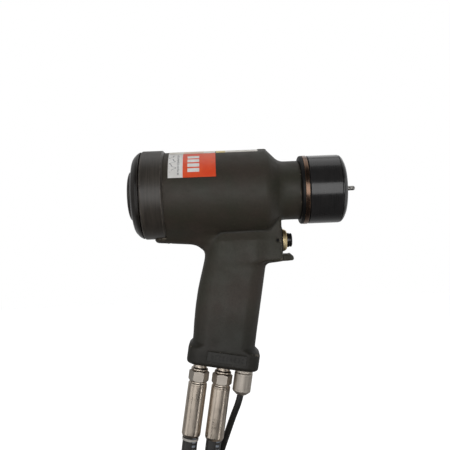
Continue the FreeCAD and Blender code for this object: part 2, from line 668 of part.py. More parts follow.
def make_base_fittings():
    make_hose_end("pull_hose", rear_port)
    make_hose_end("return_hose", front_port)
    sleeve("hose_marker_ring", grip_frame(rear_port), ferrule_end + 1.3, ferrule_end + 3.5, 7.7,
           hose_r + fit_gap, 0.4)
    for label, across in (("pull_port_seal", rear_port), ("return_port_seal", front_port)):
        sleeve(label, grip_frame(across), base_bottom, base_bottom + 1.2, 7.6, 6.8, 0.3)

    place = grip_frame(cord_port)
    relief_body = turned("relief_body", place, [
        (49.0, 3.6), (69.0, 3.6), (69.0, 6.0), (64.3, 6.0), (64.3, 8.3), (base_bottom + 0.1, 8.3),
        (base_bottom + 0.1, 6.05), (49.0, 6.05)])
    turned("relief_nut", place, [
        (64.4, 6.05), (71.0, 6.05), (71.0, 5.6), (82.8, 5.6), (82.8, 3.9), (84.9, 3.9), (84.9, 4.8),
        (82.2, 7.9), (81.2, 8.5, 3.0), (65.0, 8.5), (64.4, 7.9)])
    flats = new_sketch(relief_body, "relief_flats", "YZ_Plane", (size(0), size(0), base_bottom))
    for side in (1, -1):
        outline(flats, [(7.2 * side, -9), (9.0 * side, -9), (9.0 * side, 9), (7.2 * side, 9)])
    feature(relief_body, "Pocket", flats, Length=4.9, Reversed=True)
    sleeve("relief_grommet", place, 71.2, 82.7, 5.5, cord_r + fit_gap, 0.4)

    plate = new_body("name_plate", Place(0, 0, axis_height))
    face = new_sketch(plate, "plate_outline", "XZ_Plane", (size(0), size(0), base_half - 0.75))
    outline(face, plate_corners(0.3))
    feature(plate, "Pad", face, Length=0.5)


# ---------------------------------------------------------------- labels

def make_labels():
    """Thin wrap labels on the barrel, centred on its top."""
    for label, start, end, angle in (("wrap_label", -49.4, -7.4, 142), ("top_label", -6.8, 31.0, 44)):
        turned(label, barrel_frame, tube_outline(start, end, barrel_r + 0.25, barrel_r + 0.05),
               angle=angle, Midplane=True)


# ---------------------------------------------------------------- hoses and cord

def grip_point(along, across, y=0.0):
    """A point given in the grip frame."""
    angle = math.radians(rake.value)
    x = across * math.cos(angle) - along * math.sin(angle)
    z = -along * math.cos(angle) - across * math.sin(angle)
    return Vector(x, y, z)


def loop_points(radius, start_y, shift, first, last, step=30):
    """Corners of a round loop below the grip, counted from its rear, with a steady sideways shift."""
    points = []
    for angle in range(first, last + 1, step):
        turn = math.radians(angle)
        points.append(Vector(loop_x.value + radius * math.cos(turn), start_y + shift * (angle - 180) / 360,
                             loop_z.value + radius * math.sin(turn)))
    return points


def add_shape(label, shape):
    item = document.addObject("Part::Feature", label)
    item.Label = label
    item.Shape = shape
    parts.append(item)
    return item


def tube(label, points, radius):
    """A cord's tube: straight runs joined by tangent arcs, as large as the runs allow."""
    edges, radii = [], []
    here = points[0]
    for before, corner, after in zip(points, points[1:], points[2:]):
        arriving, leaving = (corner - before).normalize(), (after - corner).normalize()
        turn = arriving.getAngle(leaving)
        cut = 0.45 * min((corner - before).Length, (after - corner).Length)
        arc_r = cut / math.tan(turn / 2)
        radii.append(arc_r)
        start, end = corner - arriving * cut, corner + leaving * cut
        inward = (leaving - arriving).normalize()
        middle = corner + inward * (arc_r / math.cos(turn / 2) - arc_r)
        edges += [Part.LineSegment(here, start).toShape(), Part.Arc(start, middle, end).toShape()]
        here = end
    edges.append(Part.LineSegment(here, points[-1]).toShape())
    path = Part.Wire(edges)
    circle = Part.Circle(points[0], points[1] - points[0], radius).toShape()
    solid = path.makePipeShell([Part.Wire(circle)], True, False)
    section_volume = math.pi * radius * radius * path.Length
    print(f"{label}: length {path.Length:.1f}, volume ratio {solid.Volume / section_volume:.4f}, "
          f"bend radii {', '.join(f'{value:.0f}' for value in radii)}")
    return add_shape(label, solid)


def strap(label, middle, height, centres):
    """A webbing band round cords that cross the level `middle` at the given (x, y) centres."""
    low = middle - height / 2
    corners = [Vector(x, y, low) for x, y in centres]
    core = Part.makePolygon(corners + corners[:1])
    inner = Part.Face(core.makeOffset2D(hose_r.value + 0.9))
    outer = Part.Face(core.makeOffset2D(hose_r.value + 2.5))
    return add_shape(label, outer.cut(inner).extrude(Vector(0, 0, height)))


def make_far_ferrule(name, place):
    turned(f"{name}_far_ferrule", place, [
        (3.6, 2.6), (34.0, 2.6), (34.0, 7.9), (32.8, ferrule_r), (2.2, ferrule_r), (0, ferrule_r - 1.0),
        (0, hose_r + fit_gap), (3.6, hose_r + fit_gap)])


def make_cords():
    """The two hoses and the control cord, each in one round loop below the grip, and their far ends."""
    outer_r = loop_r + hose_spacing
    hose_entry, hose_inside = 127.2, 3.3
    shift = loop_shift.value

    pull = [grip_point(hose_entry, rear_port.value), Vector(-46.8, 0, -162.0), Vector(-46.6, 0, -224.0)]
    pull += loop_points(outer_r.value, 0, shift, 195, 435)
    pull.append(pull[-1] - Vector(49, 0, 0))
    tube("pull_hose", pull, hose_r.value)

    back = [grip_point(hose_entry, front_port.value), Vector(-24.5, 0, -160.4), Vector(-25.0, 0, -218.0)]
    back += loop_points(loop_r.value, 0, shift, 195, 525)
    back.append(back[-1] - Vector(0, 0, 40))
    tube("return_hose", back, hose_r.value)

    cord_loop_r = loop_r.value + hose_spacing.value / 2
    cord = [grip_point(76.0, cord_port.value), grip_point(89.0, cord_port.value),
            Vector(-0.4, 4.2, -109.5), Vector(-7.0, 11.0, -129.0), Vector(-16.1, 14.6, -154.0),
            Vector(-29.5, 12.6, -184.0), Vector(-36.0, 10.0, -224.0)]
    cord += loop_points(cord_loop_r, 9.0, -9.0, 195, 435)
    cord.append(cord[-1] - Vector(44, 0, 0))
    tube("control_cord", cord, cord_r.value)

    nipple_place = Place(pull[-1].x + hose_inside, pull[-1].y, pull[-1].z, size(180))
    make_far_ferrule("pull_hose", nipple_place)
    hexagon_nut("pull_coupler_nut", nipple_place, 34.1, 44.0, 19.0, 6.0)
    turned("pull_coupler_nipple", nipple_place, [
        (36.0, 2.8), (70.0, 2.8), (70.0, 7.6), (69.2, 8.4), (57.0, 8.4), (55.6, 7.2), (52.8, 7.2),
        (51.4, 8.9), (44.1, 8.9), (44.1, 5.9), (36.0, 5.9)])

    coupler_place = Place(back[-1].x, back[-1].y, back[-1].z + hose_inside, size(90))
    make_far_ferrule("return_hose", coupler_place)
    hexagon_nut("return_coupler_nut", coupler_place, 34.1, 45.0, 21.0, 6.0)
    turned("return_coupler_body", coupler_place, [
        (36.0, 2.8), (61.0, 2.8), (61.0, 8.5), (80.0, 8.5), (80.0, 10.4), (79.4, 11.0), (77.7, 11.0),
        (77.7, 10.3), (76.5, 10.3), (76.5, 11.0), (50.4, 11.0), (50.4, 9.2), (45.1, 9.2), (45.1, 5.9),
        (36.0, 5.9)])
    sleeve("coupler_snap_ring", coupler_place, 76.6, 77.6, 12.0, 10.35)
    turned("coupler_sleeve", coupler_place, [
        (56.0, 11.0 + fit_gap), (76.2, 11.0 + fit_gap), (76.2, 12.9), (75.4, 13.4), (72.6, 13.4),
        (71.8, 12.7), (70.2, 12.7), (69.4, 13.4), (66.6, 13.4), (65.8, 12.7), (64.2, 12.7), (63.4, 13.4),
        (57.4, 13.4), (56.0, 12.4)])

    plug_place = Place(cord[-1].x + 4, cord[-1].y, cord[-1].z, size(180))
    turned("cord_plug", plug_place, [
        (4.2, 0), (34.0, 0), (34.0, 6.6), (33.2, 7.4), (14.0, 7.4), (13.0, 6.2), (0, 4.4),
        (0, cord_r + fit_gap), (4.2, cord_r + fit_gap)])
    plug_ring = turned("plug_ring", plug_place, [
        (18.0, 7.45), (31.0, 7.45), (31.0, 8.3), (30.2, 8.8), (18.8, 8.8), (18.0, 8.3)])
    ribs = new_sketch(plug_ring, "ring_grip", "YZ_Plane", (size(0), size(0), size(17.5)))
    for index in range(12):
        turn = math.radians(30 * index)
        ring(ribs, 9.3 * math.cos(turn), 9.3 * math.sin(turn), size(1.0))
    feature(plug_ring, "Pocket", ribs, Length=15.0, Reversed=True)
    pins = new_body("plug_pins", plug_place)
    pair = new_sketch(pins, "pin_sections", "YZ_Plane", (size(0), size(0), size(34.0)))
    for side in (-3.0, 3.0):
        ring(pair, side, 0, size(1.0))
    feature(pins, "Pad", pair, Length=9.0)

    strap("rear_strap", -267.0, 12.0, [(-43.2, 0), (-32.2, 5.6), (-20.6, 0), (-19.2, -25.9)])
    run_share = math.cos(math.radians(15))
    strap("front_strap", loop_z.value, 14.0, [(loop_x.value + loop_r.value * run_share, shift / 2),
                                              (loop_x.value + cord_loop_r * run_share, 0.8),
                                              (loop_x.value + outer_r.value * run_share, shift / 2)])


make_casting()
make_rear()
make_nose()
make_piston_group()
make_trigger()
make_base_fittings()
make_labels()
make_cords()

for item in document.Objects:
    if any(word in item.State for word in ("Invalid", "Error")):
        raise RuntimeError(f"{item.Label} failed: {item.State}")
os.makedirs("parts", exist_ok=True)
for body in parts:
    if body.Shape.isNull() or not body.Shape.isValid():
        raise RuntimeError(f"{body.Label} has no valid shape")
    body.Shape.exportStep(f"parts/{body.Label}.step")
    print(f"{body.Label}: {body.Shape.Volume / 1000:.2f} cm3, {len(body.Shape.Solids)} solid(s)")
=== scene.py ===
import json
import math

import bmesh
import bpy
import numpy as np
import openvdb
from mathutils import Matrix, Vector

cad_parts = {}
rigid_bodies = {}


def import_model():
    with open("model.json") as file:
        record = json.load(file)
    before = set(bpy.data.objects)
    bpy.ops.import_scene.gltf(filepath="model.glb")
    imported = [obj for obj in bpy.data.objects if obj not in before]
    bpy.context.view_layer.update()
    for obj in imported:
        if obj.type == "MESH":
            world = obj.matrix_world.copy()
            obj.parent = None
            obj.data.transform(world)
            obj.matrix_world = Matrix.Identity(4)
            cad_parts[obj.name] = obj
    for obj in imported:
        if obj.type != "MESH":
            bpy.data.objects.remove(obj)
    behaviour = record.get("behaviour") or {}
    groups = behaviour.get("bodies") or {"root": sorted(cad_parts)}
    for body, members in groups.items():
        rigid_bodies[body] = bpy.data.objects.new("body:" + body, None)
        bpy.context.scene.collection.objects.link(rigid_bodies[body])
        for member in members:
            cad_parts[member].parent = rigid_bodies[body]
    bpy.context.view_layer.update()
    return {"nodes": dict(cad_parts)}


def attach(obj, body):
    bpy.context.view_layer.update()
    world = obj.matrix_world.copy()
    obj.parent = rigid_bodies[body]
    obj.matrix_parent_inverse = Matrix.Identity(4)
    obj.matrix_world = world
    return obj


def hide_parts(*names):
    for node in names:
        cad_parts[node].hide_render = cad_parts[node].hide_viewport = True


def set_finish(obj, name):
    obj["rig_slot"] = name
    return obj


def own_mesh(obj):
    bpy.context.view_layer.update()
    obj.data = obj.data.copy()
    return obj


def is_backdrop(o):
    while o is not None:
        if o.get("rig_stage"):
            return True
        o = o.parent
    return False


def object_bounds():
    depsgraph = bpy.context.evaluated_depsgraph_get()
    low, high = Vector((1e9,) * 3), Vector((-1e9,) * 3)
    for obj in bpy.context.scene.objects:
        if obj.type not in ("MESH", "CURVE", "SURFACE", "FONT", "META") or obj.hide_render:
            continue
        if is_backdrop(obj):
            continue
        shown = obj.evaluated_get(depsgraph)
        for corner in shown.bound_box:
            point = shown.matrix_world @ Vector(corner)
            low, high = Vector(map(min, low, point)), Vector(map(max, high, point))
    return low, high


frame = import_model()

MM = 0.001
ROOT = "tool_body"
RAKE = math.radians(9.85)          # the grip leans back by this much
DOWN_GRIP = Vector((-math.sin(RAKE), 0, -math.cos(RAKE)))
ACROSS_GRIP = Vector((math.cos(RAKE), 0, -math.sin(RAKE)))
AXIS_Z = 100.0                     # barrel axis, mm above the grip's centre
TRIGGER_Z = 54.0
REAR_PORT, FRONT_PORT, CORD_PORT = -18.4, 3.3, 22.6


# ---------------------------------------------------------------- camera

def make_camera():
    """Level side view with a slight roll, so that the barrel rises a little towards the nose."""
    camera = bpy.data.objects.new("camera", bpy.data.cameras.new("camera"))
    bpy.context.scene.collection.objects.link(camera)
    roll = math.radians(2.15)
    right = Vector((math.cos(roll), 0, -math.sin(roll)))
    up = Vector((math.sin(roll), 0, math.cos(roll)))
    back = Vector((0, -1, 0))
    turn = Matrix((right, up, back)).transposed().to_4x4()
    camera.matrix_world = Matrix.Translation((-0.0011, -0.565, 0.0701)) @ turn
    camera.data.lens = 48.6
    camera.data.sensor_width = 36
    camera.data.clip_start = 0.01
    bpy.context.scene.camera = camera


make_camera()


# ---------------------------------------------------------------- hoses and cord

def grip_point(along, across):
    """A point of the grip's frame on its middle plane, in metres."""
    return DOWN_GRIP * (along * MM) + ACROSS_GRIP * (across * MM)


LOOP_X, LOOP_Z = 60.0, -264.0
LOOP_R, HOSE_SPACING, LOOP_SHIFT = 82.0, 23.0, -27.0
HOSE_R, CORD_R = 7.05, 3.1


def point(x, y, z):
    return Vector((x, y, z)) * MM


def add_object(name, data):
    obj = bpy.data.objects.new(name, data)
    bpy.context.scene.collection.objects.link(obj)
    return obj


def add_skin(name, mesh, node, slot, body=ROOT):
    """Puts a mesh in the scene in place of a CAD node, riding on a body."""
    obj = add_object(name, mesh)
    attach(obj, body)
    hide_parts(node)
    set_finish(obj, slot)
    return obj


def ring_faces(here, there, count):
    """Faces between two rings of points, given by each ring's first index."""
    return [[here + spot, here + (spot + 1) % count, there + (spot + 1) % count, there + spot]
            for spot in range(count)]


def tidy_normals(mesh):
    """Turns all faces of a closed mesh outwards."""
    build = bmesh.new()
    build.from_mesh(mesh)
    bmesh.ops.recalc_face_normals(build, faces=build.faces)
    build.to_mesh(mesh)
    build.free()


def loop_points(radius, start_y, shift, first, last, step=30):
    """Corners of a round loop below the grip, with a steady sideways shift."""
    points = []
    for angle in range(first, last + 1, step):
        turn = math.radians(angle)
        points.append(point(LOOP_X + radius * math.cos(turn), start_y + shift * (angle - 180) / 360,
                            LOOP_Z + radius * math.sin(turn)))
    return points


pull_route = [grip_point(127.2, REAR_PORT), point(-46.8, 0, -162.0), point(-46.6, 0, -224.0)]
pull_route += loop_points(LOOP_R + HOSE_SPACING, 0, LOOP_SHIFT, 195, 435)
pull_route.append(pull_route[-1] - point(49, 0, 0))

return_route = [grip_point(127.2, FRONT_PORT), point(-24.5, 0, -160.4), point(-25.0, 0, -218.0)]
return_route += loop_points(LOOP_R, 0, LOOP_SHIFT, 195, 525)
return_route.append(return_route[-1] - point(0, 0, 40))

cord_route = [grip_point(76.0, CORD_PORT), grip_point(89.0, CORD_PORT), point(-0.4, 4.2, -109.5),
              point(-7.0, 11.0, -129.0), point(-16.1, 14.6, -154.0), point(-29.5, 12.6, -184.0),
              point(-36.0, 10.0, -224.0)]
cord_route += loop_points(LOOP_R + HOSE_SPACING / 2, 9.0, -9.0, 195, 435)
cord_route.append(cord_route[-1] - point(44, 0, 0))


def cord_curve(name, route, radius):
    """A free cord: one NURBS line through its route, with a round section."""
    curve = bpy.data.curves.new(name, "CURVE")
    curve.dimensions = "3D"
    spline = curve.splines.new("NURBS")
    spline.points.add(len(route) - 1)
    for control, place in zip(spline.points, route):
        control.co = (*place, 1.0)
        control.radius = radius * MM
    spline.order_u = 3
    spline.use_endpoint_u = True
    curve.resolution_u = 12
    curve.bevel_depth = 1.0
    curve.bevel_resolution = 8
    curve.use_fill_caps = True
    obj = add_object(name, curve)
    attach(obj, ROOT)
    return obj


pull_hose = cord_curve("pull_hose_line", pull_route, HOSE_R)
return_hose = cord_curve("return_hose_line", return_route, HOSE_R)
control_cord = cord_curve("control_cord_line", cord_route, CORD_R)
for piece, node, slot in ((pull_hose, "pull_hose", "hose_rubber"),
                          (return_hose, "return_hose", "hose_rubber"),
                          (control_cord, "control_cord", "cord_rubber")):
    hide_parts(node)
    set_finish(piece, slot)


# ---------------------------------------------------------------- casting

VOXEL = 1.2                        # mm
BARREL_R, NECK_R, SPIGOT_R = 38.7, 27.1, 26.0
SPIGOT_START, SPIGOT_END = 68.4, 88.0
CAP_FRONT = -54.3
BASE_BOTTOM = 59.4
BASE_HALF = 22.0


def join(a, b, blend):
    """Union of two distance fields with a fillet of about `blend` mm."""
    overlap = np.clip(blend - np.abs(a - b), 0, None)
    return np.minimum(a, b) - overlap * overlap / (4 * blend)


def common(a, b, blend=0.6):
    return -join(-a, -b, blend)


def cut(a, b, blend=0.6):
    return -join(-a, b, blend)


def rounded(*sides, corner):
    """Distance to a box with rounded edges, from its signed side distances."""
    sides = [side + corner for side in sides]
    outside = np.sqrt(sum(np.clip(side, 0, None) ** 2 for side in sides))
    inside = np.minimum(sides[0], 0)
    if len(sides) > 1:
        inside = np.minimum(np.maximum.reduce(sides), 0)
    return outside + inside - corner


def smooth_step(value):
    value = np.clip(value, 0, 1)
    return value * value * (3 - 2 * value)


def table(at, places, values, softness=6.0):
    """Values along a line, joined without kinks."""
    fine = np.arange(places[0] - 4 * softness, places[-1] + 4 * softness, 0.5)
    window = np.hanning(int(softness / 0.5) * 2 + 1)
    soft = np.convolve(np.pad(np.interp(fine, places, values), len(window) // 2, mode="edge"),
                       window / window.sum(), "valid")
    return np.interp(at, fine, soft)


def in_grip(x, z):
    """Along and across coordinates of the grip's frame."""
    return -x * math.sin(RAKE) - z * math.cos(RAKE), x * math.cos(RAKE) - z * math.sin(RAKE)


def casting_distance(x, y, z):
    """Signed distance to the casting's skin, in mm, negative inside."""
    from_axis = np.hypot(y, z - AXIS_Z)
    cone = (from_axis - BARREL_R + (x - 38.4)) * math.sqrt(0.5)
    wide = common(from_axis - BARREL_R, cone, 2.5)
    wide = common(wide, CAP_FRONT - 0.7 - x, 0.6)
    neck = np.maximum(from_axis - NECK_R, x - SPIGOT_START)
    barrel = join(np.maximum(wide, -60.0 - x), np.maximum(neck, -x), 3.5)
    spigot = np.maximum(from_axis - SPIGOT_R, x - SPIGOT_END)
    rear_spigot = common(common(from_axis - 37.5, -72.0 - x), x + 50.0)
    barrel = np.minimum(np.minimum(barrel, spigot), rear_spigot)

    lip = rounded(30.8 - x, x - 38.6, np.abs(y) - 9.0, from_axis - BARREL_R - 0.5, 125.0 - z, corner=0.6)
    barrel = join(barrel, lip, 1.2)

    rib_bottom = np.interp(x, [-66.8, -65.2, -10.0], [57.7, 55.7, 51.3])
    keel = 6.0 + 0.75 * np.clip(z - rib_bottom, 0, 14)
    rib = rounded(-66.6 - x, x + 8.0, (np.abs(y) - keel) * 0.8, rib_bottom - z, z - 80.0, corner=4.0)

    along, across = in_grip(x, z)
    flare = smooth_step((along - 38.6) / 6.6)
    rear = table(along, [-76, -44, -28, -16, -6, 9, 24, 36],
                 [-25.5, -27, -28.1, -29.2, -29.9, -30, -29.4, -28.4])
    rear = rear - 2.9 * flare
    front = 29.2 + 5.4 * flare
    tucked = 0.35 * np.clip(z - 55.5, 0, 8)
    half = table(along, [-44, -16, 9, 37], [18.0, 18.5, 19.0, 19.0])
    half = half + 3.0 * smooth_step((along - 20.0) / 26.0) - tucked
    middle, reach = (front + rear) / 2, (front - rear) / 2
    crown = 0.9 * ((across - middle) / reach) ** 2
    corner = np.where(across > middle, 15.0, 15.5) - 4.0 * flare - tucked
    grip = rounded(np.abs(across - middle) - reach, np.abs(y) - half + crown, corner=corner)
    grip = common(common(grip, along - BASE_BOTTOM, 3.4), -76.0 - along)

    wide_half = np.interp(x, [10.0, 26.0, 50.2], [14.5, 17.6, 15.5])
    wide_half = wide_half - tucked * np.interp(x, [30, 44], [1, 0.2])
    housing = rounded(10.0 - x, x - 50.2, np.abs(y) - wide_half, 35.6 - z, z - 80.0, corner=2.0)
    lug_top = 41.4 - np.clip(x - 57.4, 0, None) * 0.62
    bump = 0.9 * np.exp(-((x - 58.0) / 2.2) ** 2 - (y / 5.0) ** 2)
    dish = 1.3 * np.exp(-((x - 54.2) / 2.0) ** 2 - (y / 6.5) ** 2)
    lug = rounded(34.0 - x, x - 62.0, np.abs(y) - 13.5, 35.3 - z, z - lug_top - bump + dish, corner=1.7)
    round_tip = np.hypot(x - 48.5, y) - 13.6
    lug = common(lug, round_tip, 1.5)

    lower = join(grip, housing, 6.0)
    body = join(join(barrel, rib, 7.0), lower, np.interp(x, [-24.0, -8.0], [17.0, 1.6]))
    body = join(body, lug, np.interp(x, [30, 40, 50], [7.0, 5.5, 1.2]))

    # The band's seat above the rib's tongue
    band_seat = np.maximum(np.maximum(from_axis - 41.0, x - CAP_FRONT + 0.7), 37.5 - from_axis)
    body = np.maximum(body, -band_seat)

    # Cylinder, gland seat and collet chamber
    for start, end, radius in ((-74, -55, 34.0), (-56, 18, 32.0), (17, 22, 24.05), (21, 36, 18.05),
                               (35, 90, 17.0)):
        body = np.maximum(body, -np.maximum(np.maximum(start - x, x - end), from_axis - radius))

    # Trigger bore, set-screw hole and ports
    trigger_bore = np.maximum(np.hypot(y, z - TRIGGER_Z) - 8.4, 21.5 - x)
    body = cut(body, trigger_bore, 0.5)
    body = cut(body, np.maximum(np.hypot(x - 46.2, z - 54.6) - 1.45, y + 7.5), 0.3)
    for place, radius, depth, channel, top in ((REAR_PORT, 6.8, 14, 2.6, -60.0),
                                               (FRONT_PORT, 6.8, 14, 2.6, -70.5),
                                               (CORD_PORT, 6.1, 12, 3.5, -44.0)):
        from_port = np.hypot(across - place, y)
        body = cut(body, np.maximum(from_port - radius, BASE_BOTTOM - depth - along), 0.5)
        body = np.maximum(body, -np.maximum(from_port - channel, top - along))

    plate = rounded(45.2 - along, along - 54.2, -13.2 - across, across - 22.6, y + BASE_HALF - 0.8,
                    corner=0.4)
    return cut(body, plate, 0.5)


def make_casting():
    """The casting's skin from its distance field, drawn on to the exact surface."""
    low = np.array([-76.0, -44.0, -72.0])
    counts = np.ceil((np.array([92.0, 44.0, 144.0]) - low) / VOXEL).astype(int)
    steps = [low[axis] + VOXEL * np.arange(counts[axis]) for axis in range(3)]
    x, y, z = np.meshgrid(*steps, indexing="ij")
    field = np.clip(casting_distance(x, y, z) / VOXEL, -3, 3).astype(np.float32)
    grid = openvdb.FloatGrid(background=3.0)
    grid.copyFromArray(field)
    points, quads = grid.convertToQuads(isovalue=0.0)
    places = low + VOXEL * points.astype(np.float64)
    probe, reach = 0.02, 1.7
    for _ in range(2):
        here = casting_distance(*places.T)
        slope = np.stack([casting_distance(*(places + step).T) - here for step in np.eye(3) * probe],
                         axis=1) / probe
        size = np.clip((slope ** 2).sum(axis=1), 0.2, None)
        move = slope * (here / size)[:, None]
        places -= np.clip(move, -0.4, 0.4)
    mesh = bpy.data.meshes.new("casting")
    mesh.from_pydata(places * MM, [], quads.tolist())
    mesh.polygons.foreach_set("use_smooth", np.ones(len(mesh.polygons), dtype=bool))
    # The edge attribute from the local bend: above 0.5 on convex edges, below it in creases, where the enamel
    # paints dirt and shade
    six_ways = np.vstack([np.eye(3), -np.eye(3)]) * reach
    around = sum(casting_distance(*(places + step).T) for step in six_ways)
    bend = (around - 6 * casting_distance(*places.T)) / reach
    edge = mesh.attributes.new("edge", "FLOAT", "POINT")
    edge.data.foreach_set("value", np.clip(0.5 + 0.5 * bend, 0, 1).astype(np.float32))
    mesh.update()
    add_skin("casting_skin", mesh, "handle_body", "casting")


make_casting()


# ---------------------------------------------------------------- turned pieces

def frame_at(start, along):
    """A frame whose own X runs along the given direction, with its own Y kept level where it can be."""
    x = along.normalized()
    y = Vector((0, 1, 0))
    z = x.cross(y).normalized()
    y = z.cross(x)
    return Matrix.Translation(start) @ Matrix((x, y, z)).transposed().to_4x4()


barrel_frame = frame_at(Vector((0, 0, AXIS_Z * MM)), Vector((1, 0, 0)))
trigger_frame = frame_at(Vector((0, 0, TRIGGER_Z * MM)), Vector((1, 0, 0)))
port_frames = {across: frame_at(grip_point(0, across), DOWN_GRIP)
               for across in (REAR_PORT, FRONT_PORT, CORD_PORT)}
HOSE_INSIDE, CORD_INSIDE = 3.3, 4.0
pull_end_frame = frame_at(pull_route[-1] + point(HOSE_INSIDE, 0, 0), Vector((-1, 0, 0)))
return_end_frame = frame_at(return_route[-1] + point(0, 0, HOSE_INSIDE), Vector((0, 0, -1)))
plug_frame = frame_at(cord_route[-1] + point(CORD_INSIDE, 0, 0), Vector((-1, 0, 0)))


def arc_to(start, end, radius, steps=12):
    """Points after start up to end on an arc; a positive radius puts its centre on the left of the way."""
    chord = end - start
    side = Vector((-chord.y, chord.x)).normalized()
    rise = math.sqrt(max(radius * radius - chord.length_squared / 4, 0.0))
    centre = (start + end) / 2 + side * math.copysign(rise, radius)
    first, last = start - centre, end - centre
    turn = first.angle_signed(last)
    return [centre + Matrix.Rotation(-turn * step / steps, 2) @ first for step in range(1, steps + 1)]


def softened(corners, soft):
    """Outline points with each sharp corner rounded, as (point, 1 on the rounding or 0 off it)."""
    outline = []
    for corner in corners:
        place = Vector(corner[:2])
        if len(corner) == 3:
            outline += arc_to(outline[-1], place, corner[2])
        else:
            outline.append(place)
    points = []
    count = len(outline)
    for index, corner in enumerate(outline):
        before, after = outline[index - 1] - corner, outline[(index + 1) % count] - corner
        bend = math.pi - before.angle(after)
        radius = min(soft, 0.42 * before.length, 0.42 * after.length)
        if bend < 0.3 or corner.y < 1e-6 or radius < 0.02:
            points.append((corner, 0.0))
            continue
        start, end = corner + before.normalized() * radius, corner + after.normalized() * radius
        shoulder = min(0.5, 0.1 * radius / soft + 0.08)
        if before.length > 4 * radius:
            points.append((start + before.normalized() * shoulder, 0.0))
        for step in range(5):
            share = step / 4
            curve = start * (1 - share) ** 2 + corner * 2 * share * (1 - share) + end * share ** 2
            points.append((curve, 1.0 if 0 < step < 4 else 0.6))
        if after.length > 4 * radius:
            points.append((end + after.normalized() * shoulder, 0.0))
    return points


def turned(node, place, corners, slot, body=ROOT, soft=0.25, segments=96, shape=None):
    """A turned piece in place of a CAD node: a closed outline swept round the own X axis.

    shape(along, radius, angle) may change a point's radius, for flats, knurls and crimps.
    """
    outline = softened(corners, soft)
    vertices, marks, rings = [], [], []
    for (along, radius), mark in outline:
        if radius < 1e-6:
            rings.append([len(vertices)] * segments)
            vertices.append(Vector((along, 0, 0)))
            marks.append(mark)
            continue
        rings.append(list(range(len(vertices), len(vertices) + segments)))
        for step in range(segments):
            angle = 2 * math.pi * step / segments
            wide = shape(along, radius, angle) if shape else radius
            vertices.append(Vector((along, wide * math.cos(angle), wide * math.sin(angle))))
            marks.append(mark)
    faces = []
    for ring, following in zip(rings, rings[1:] + rings[:1]):
        for step in range(segments):
            after = (step + 1) % segments
            face = [ring[step], ring[after], following[after], following[step]]
            face = [corner for spot, corner in enumerate(face) if corner != face[spot - 1]]
            if len(face) > 2:
                faces.append(face)
    mesh = bpy.data.meshes.new(f"{node}_skin")
    mesh.from_pydata([place @ (vertex * MM) for vertex in vertices], [], faces)
    edge = mesh.attributes.new("edge", "FLOAT", "POINT")
    edge.data.foreach_set("value", marks)
    tidy_normals(mesh)
    mesh.polygons.foreach_set("use_smooth", [True] * len(mesh.polygons))
    mesh.set_sharp_from_angle(angle=math.radians(32))
    add_skin(f"{node}_skin", mesh, node, slot, body)


def sleeve(node, place, start, end, outer_r, inner_r, slot, **options):
    turned(node, place, [(start, inner_r), (end, inner_r), (end, outer_r), (start, outer_r)], slot,
           **options)


def flat_sided(flats, across):
    """A shape that keeps a turned piece inside a regular prism, such as a hexagon."""
    part = 2 * math.pi / flats

    def limit(along, radius, angle):
        off_middle = (angle + part / 2) % part - part / 2
        return min(radius, across / 2 / math.cos(off_middle))
    return limit


def hexagon_nut(node, place, start, end, across, bore_r, slot):
    """A hexagon nut with its corners turned off at both ends."""
    corner_r = across / math.sqrt(3)
    low_r, slant = across / 2 * 0.97, 0.55
    steps = 6
    rise = (corner_r - low_r) / steps
    corners = [(start, bore_r)]
    corners += [(start + slant * rise * step, low_r + rise * step) for step in range(steps + 1)]
    corners += [(end - 1.6 * slant * rise * step, low_r + rise * step) for step in range(steps, -1, -1)]
    corners.append((end, bore_r))
    turned(node, place, corners, slot, soft=0.2, segments=120, shape=flat_sided(6, across))


def crimped(start, end, count, depth):
    """Shallow lengthwise crimps between two places."""
    def press(along, radius, angle):
        if radius < 7.5:
            return radius
        fade = float(smooth_step((along - start) / 3.0) * smooth_step((end - along) / 3.0))
        return radius - depth * fade * (0.5 + 0.5 * math.cos(count * angle))
    return press


def make_rear():
    turned("cap_ring", barrel_frame, [
        (-75.1, 37.55), (CAP_FRONT, 37.55), (CAP_FRONT, 39.3), (-55.9, 40.9), (-73.9, 40.9),
        (-75.1, 39.9)], "band_black", soft=0.3, segments=128)
    turned("end_cap", barrel_frame, [
        (-88.6, 0), (-88.6, 17.0), (-87.3, 22.0, -12.0), (-85.8, 23.0), (-84.6, 25.2), (-83.5, 32.0, -30.0),
        (-80.6, 37.0, -8.0), (-75.9, 40.2, -9.0), (-75.9, 33.95), (-64.6, 33.95), (-64.6, 31.2),
        (-61.2, 31.2), (-61.2, 33.95), (-55.1, 33.95), (-55.1, 26.0), (-78.0, 26.0), (-82.0, 20.0),
        (-82.0, 0)],
        "dome_black", soft=0.5, segments=128)


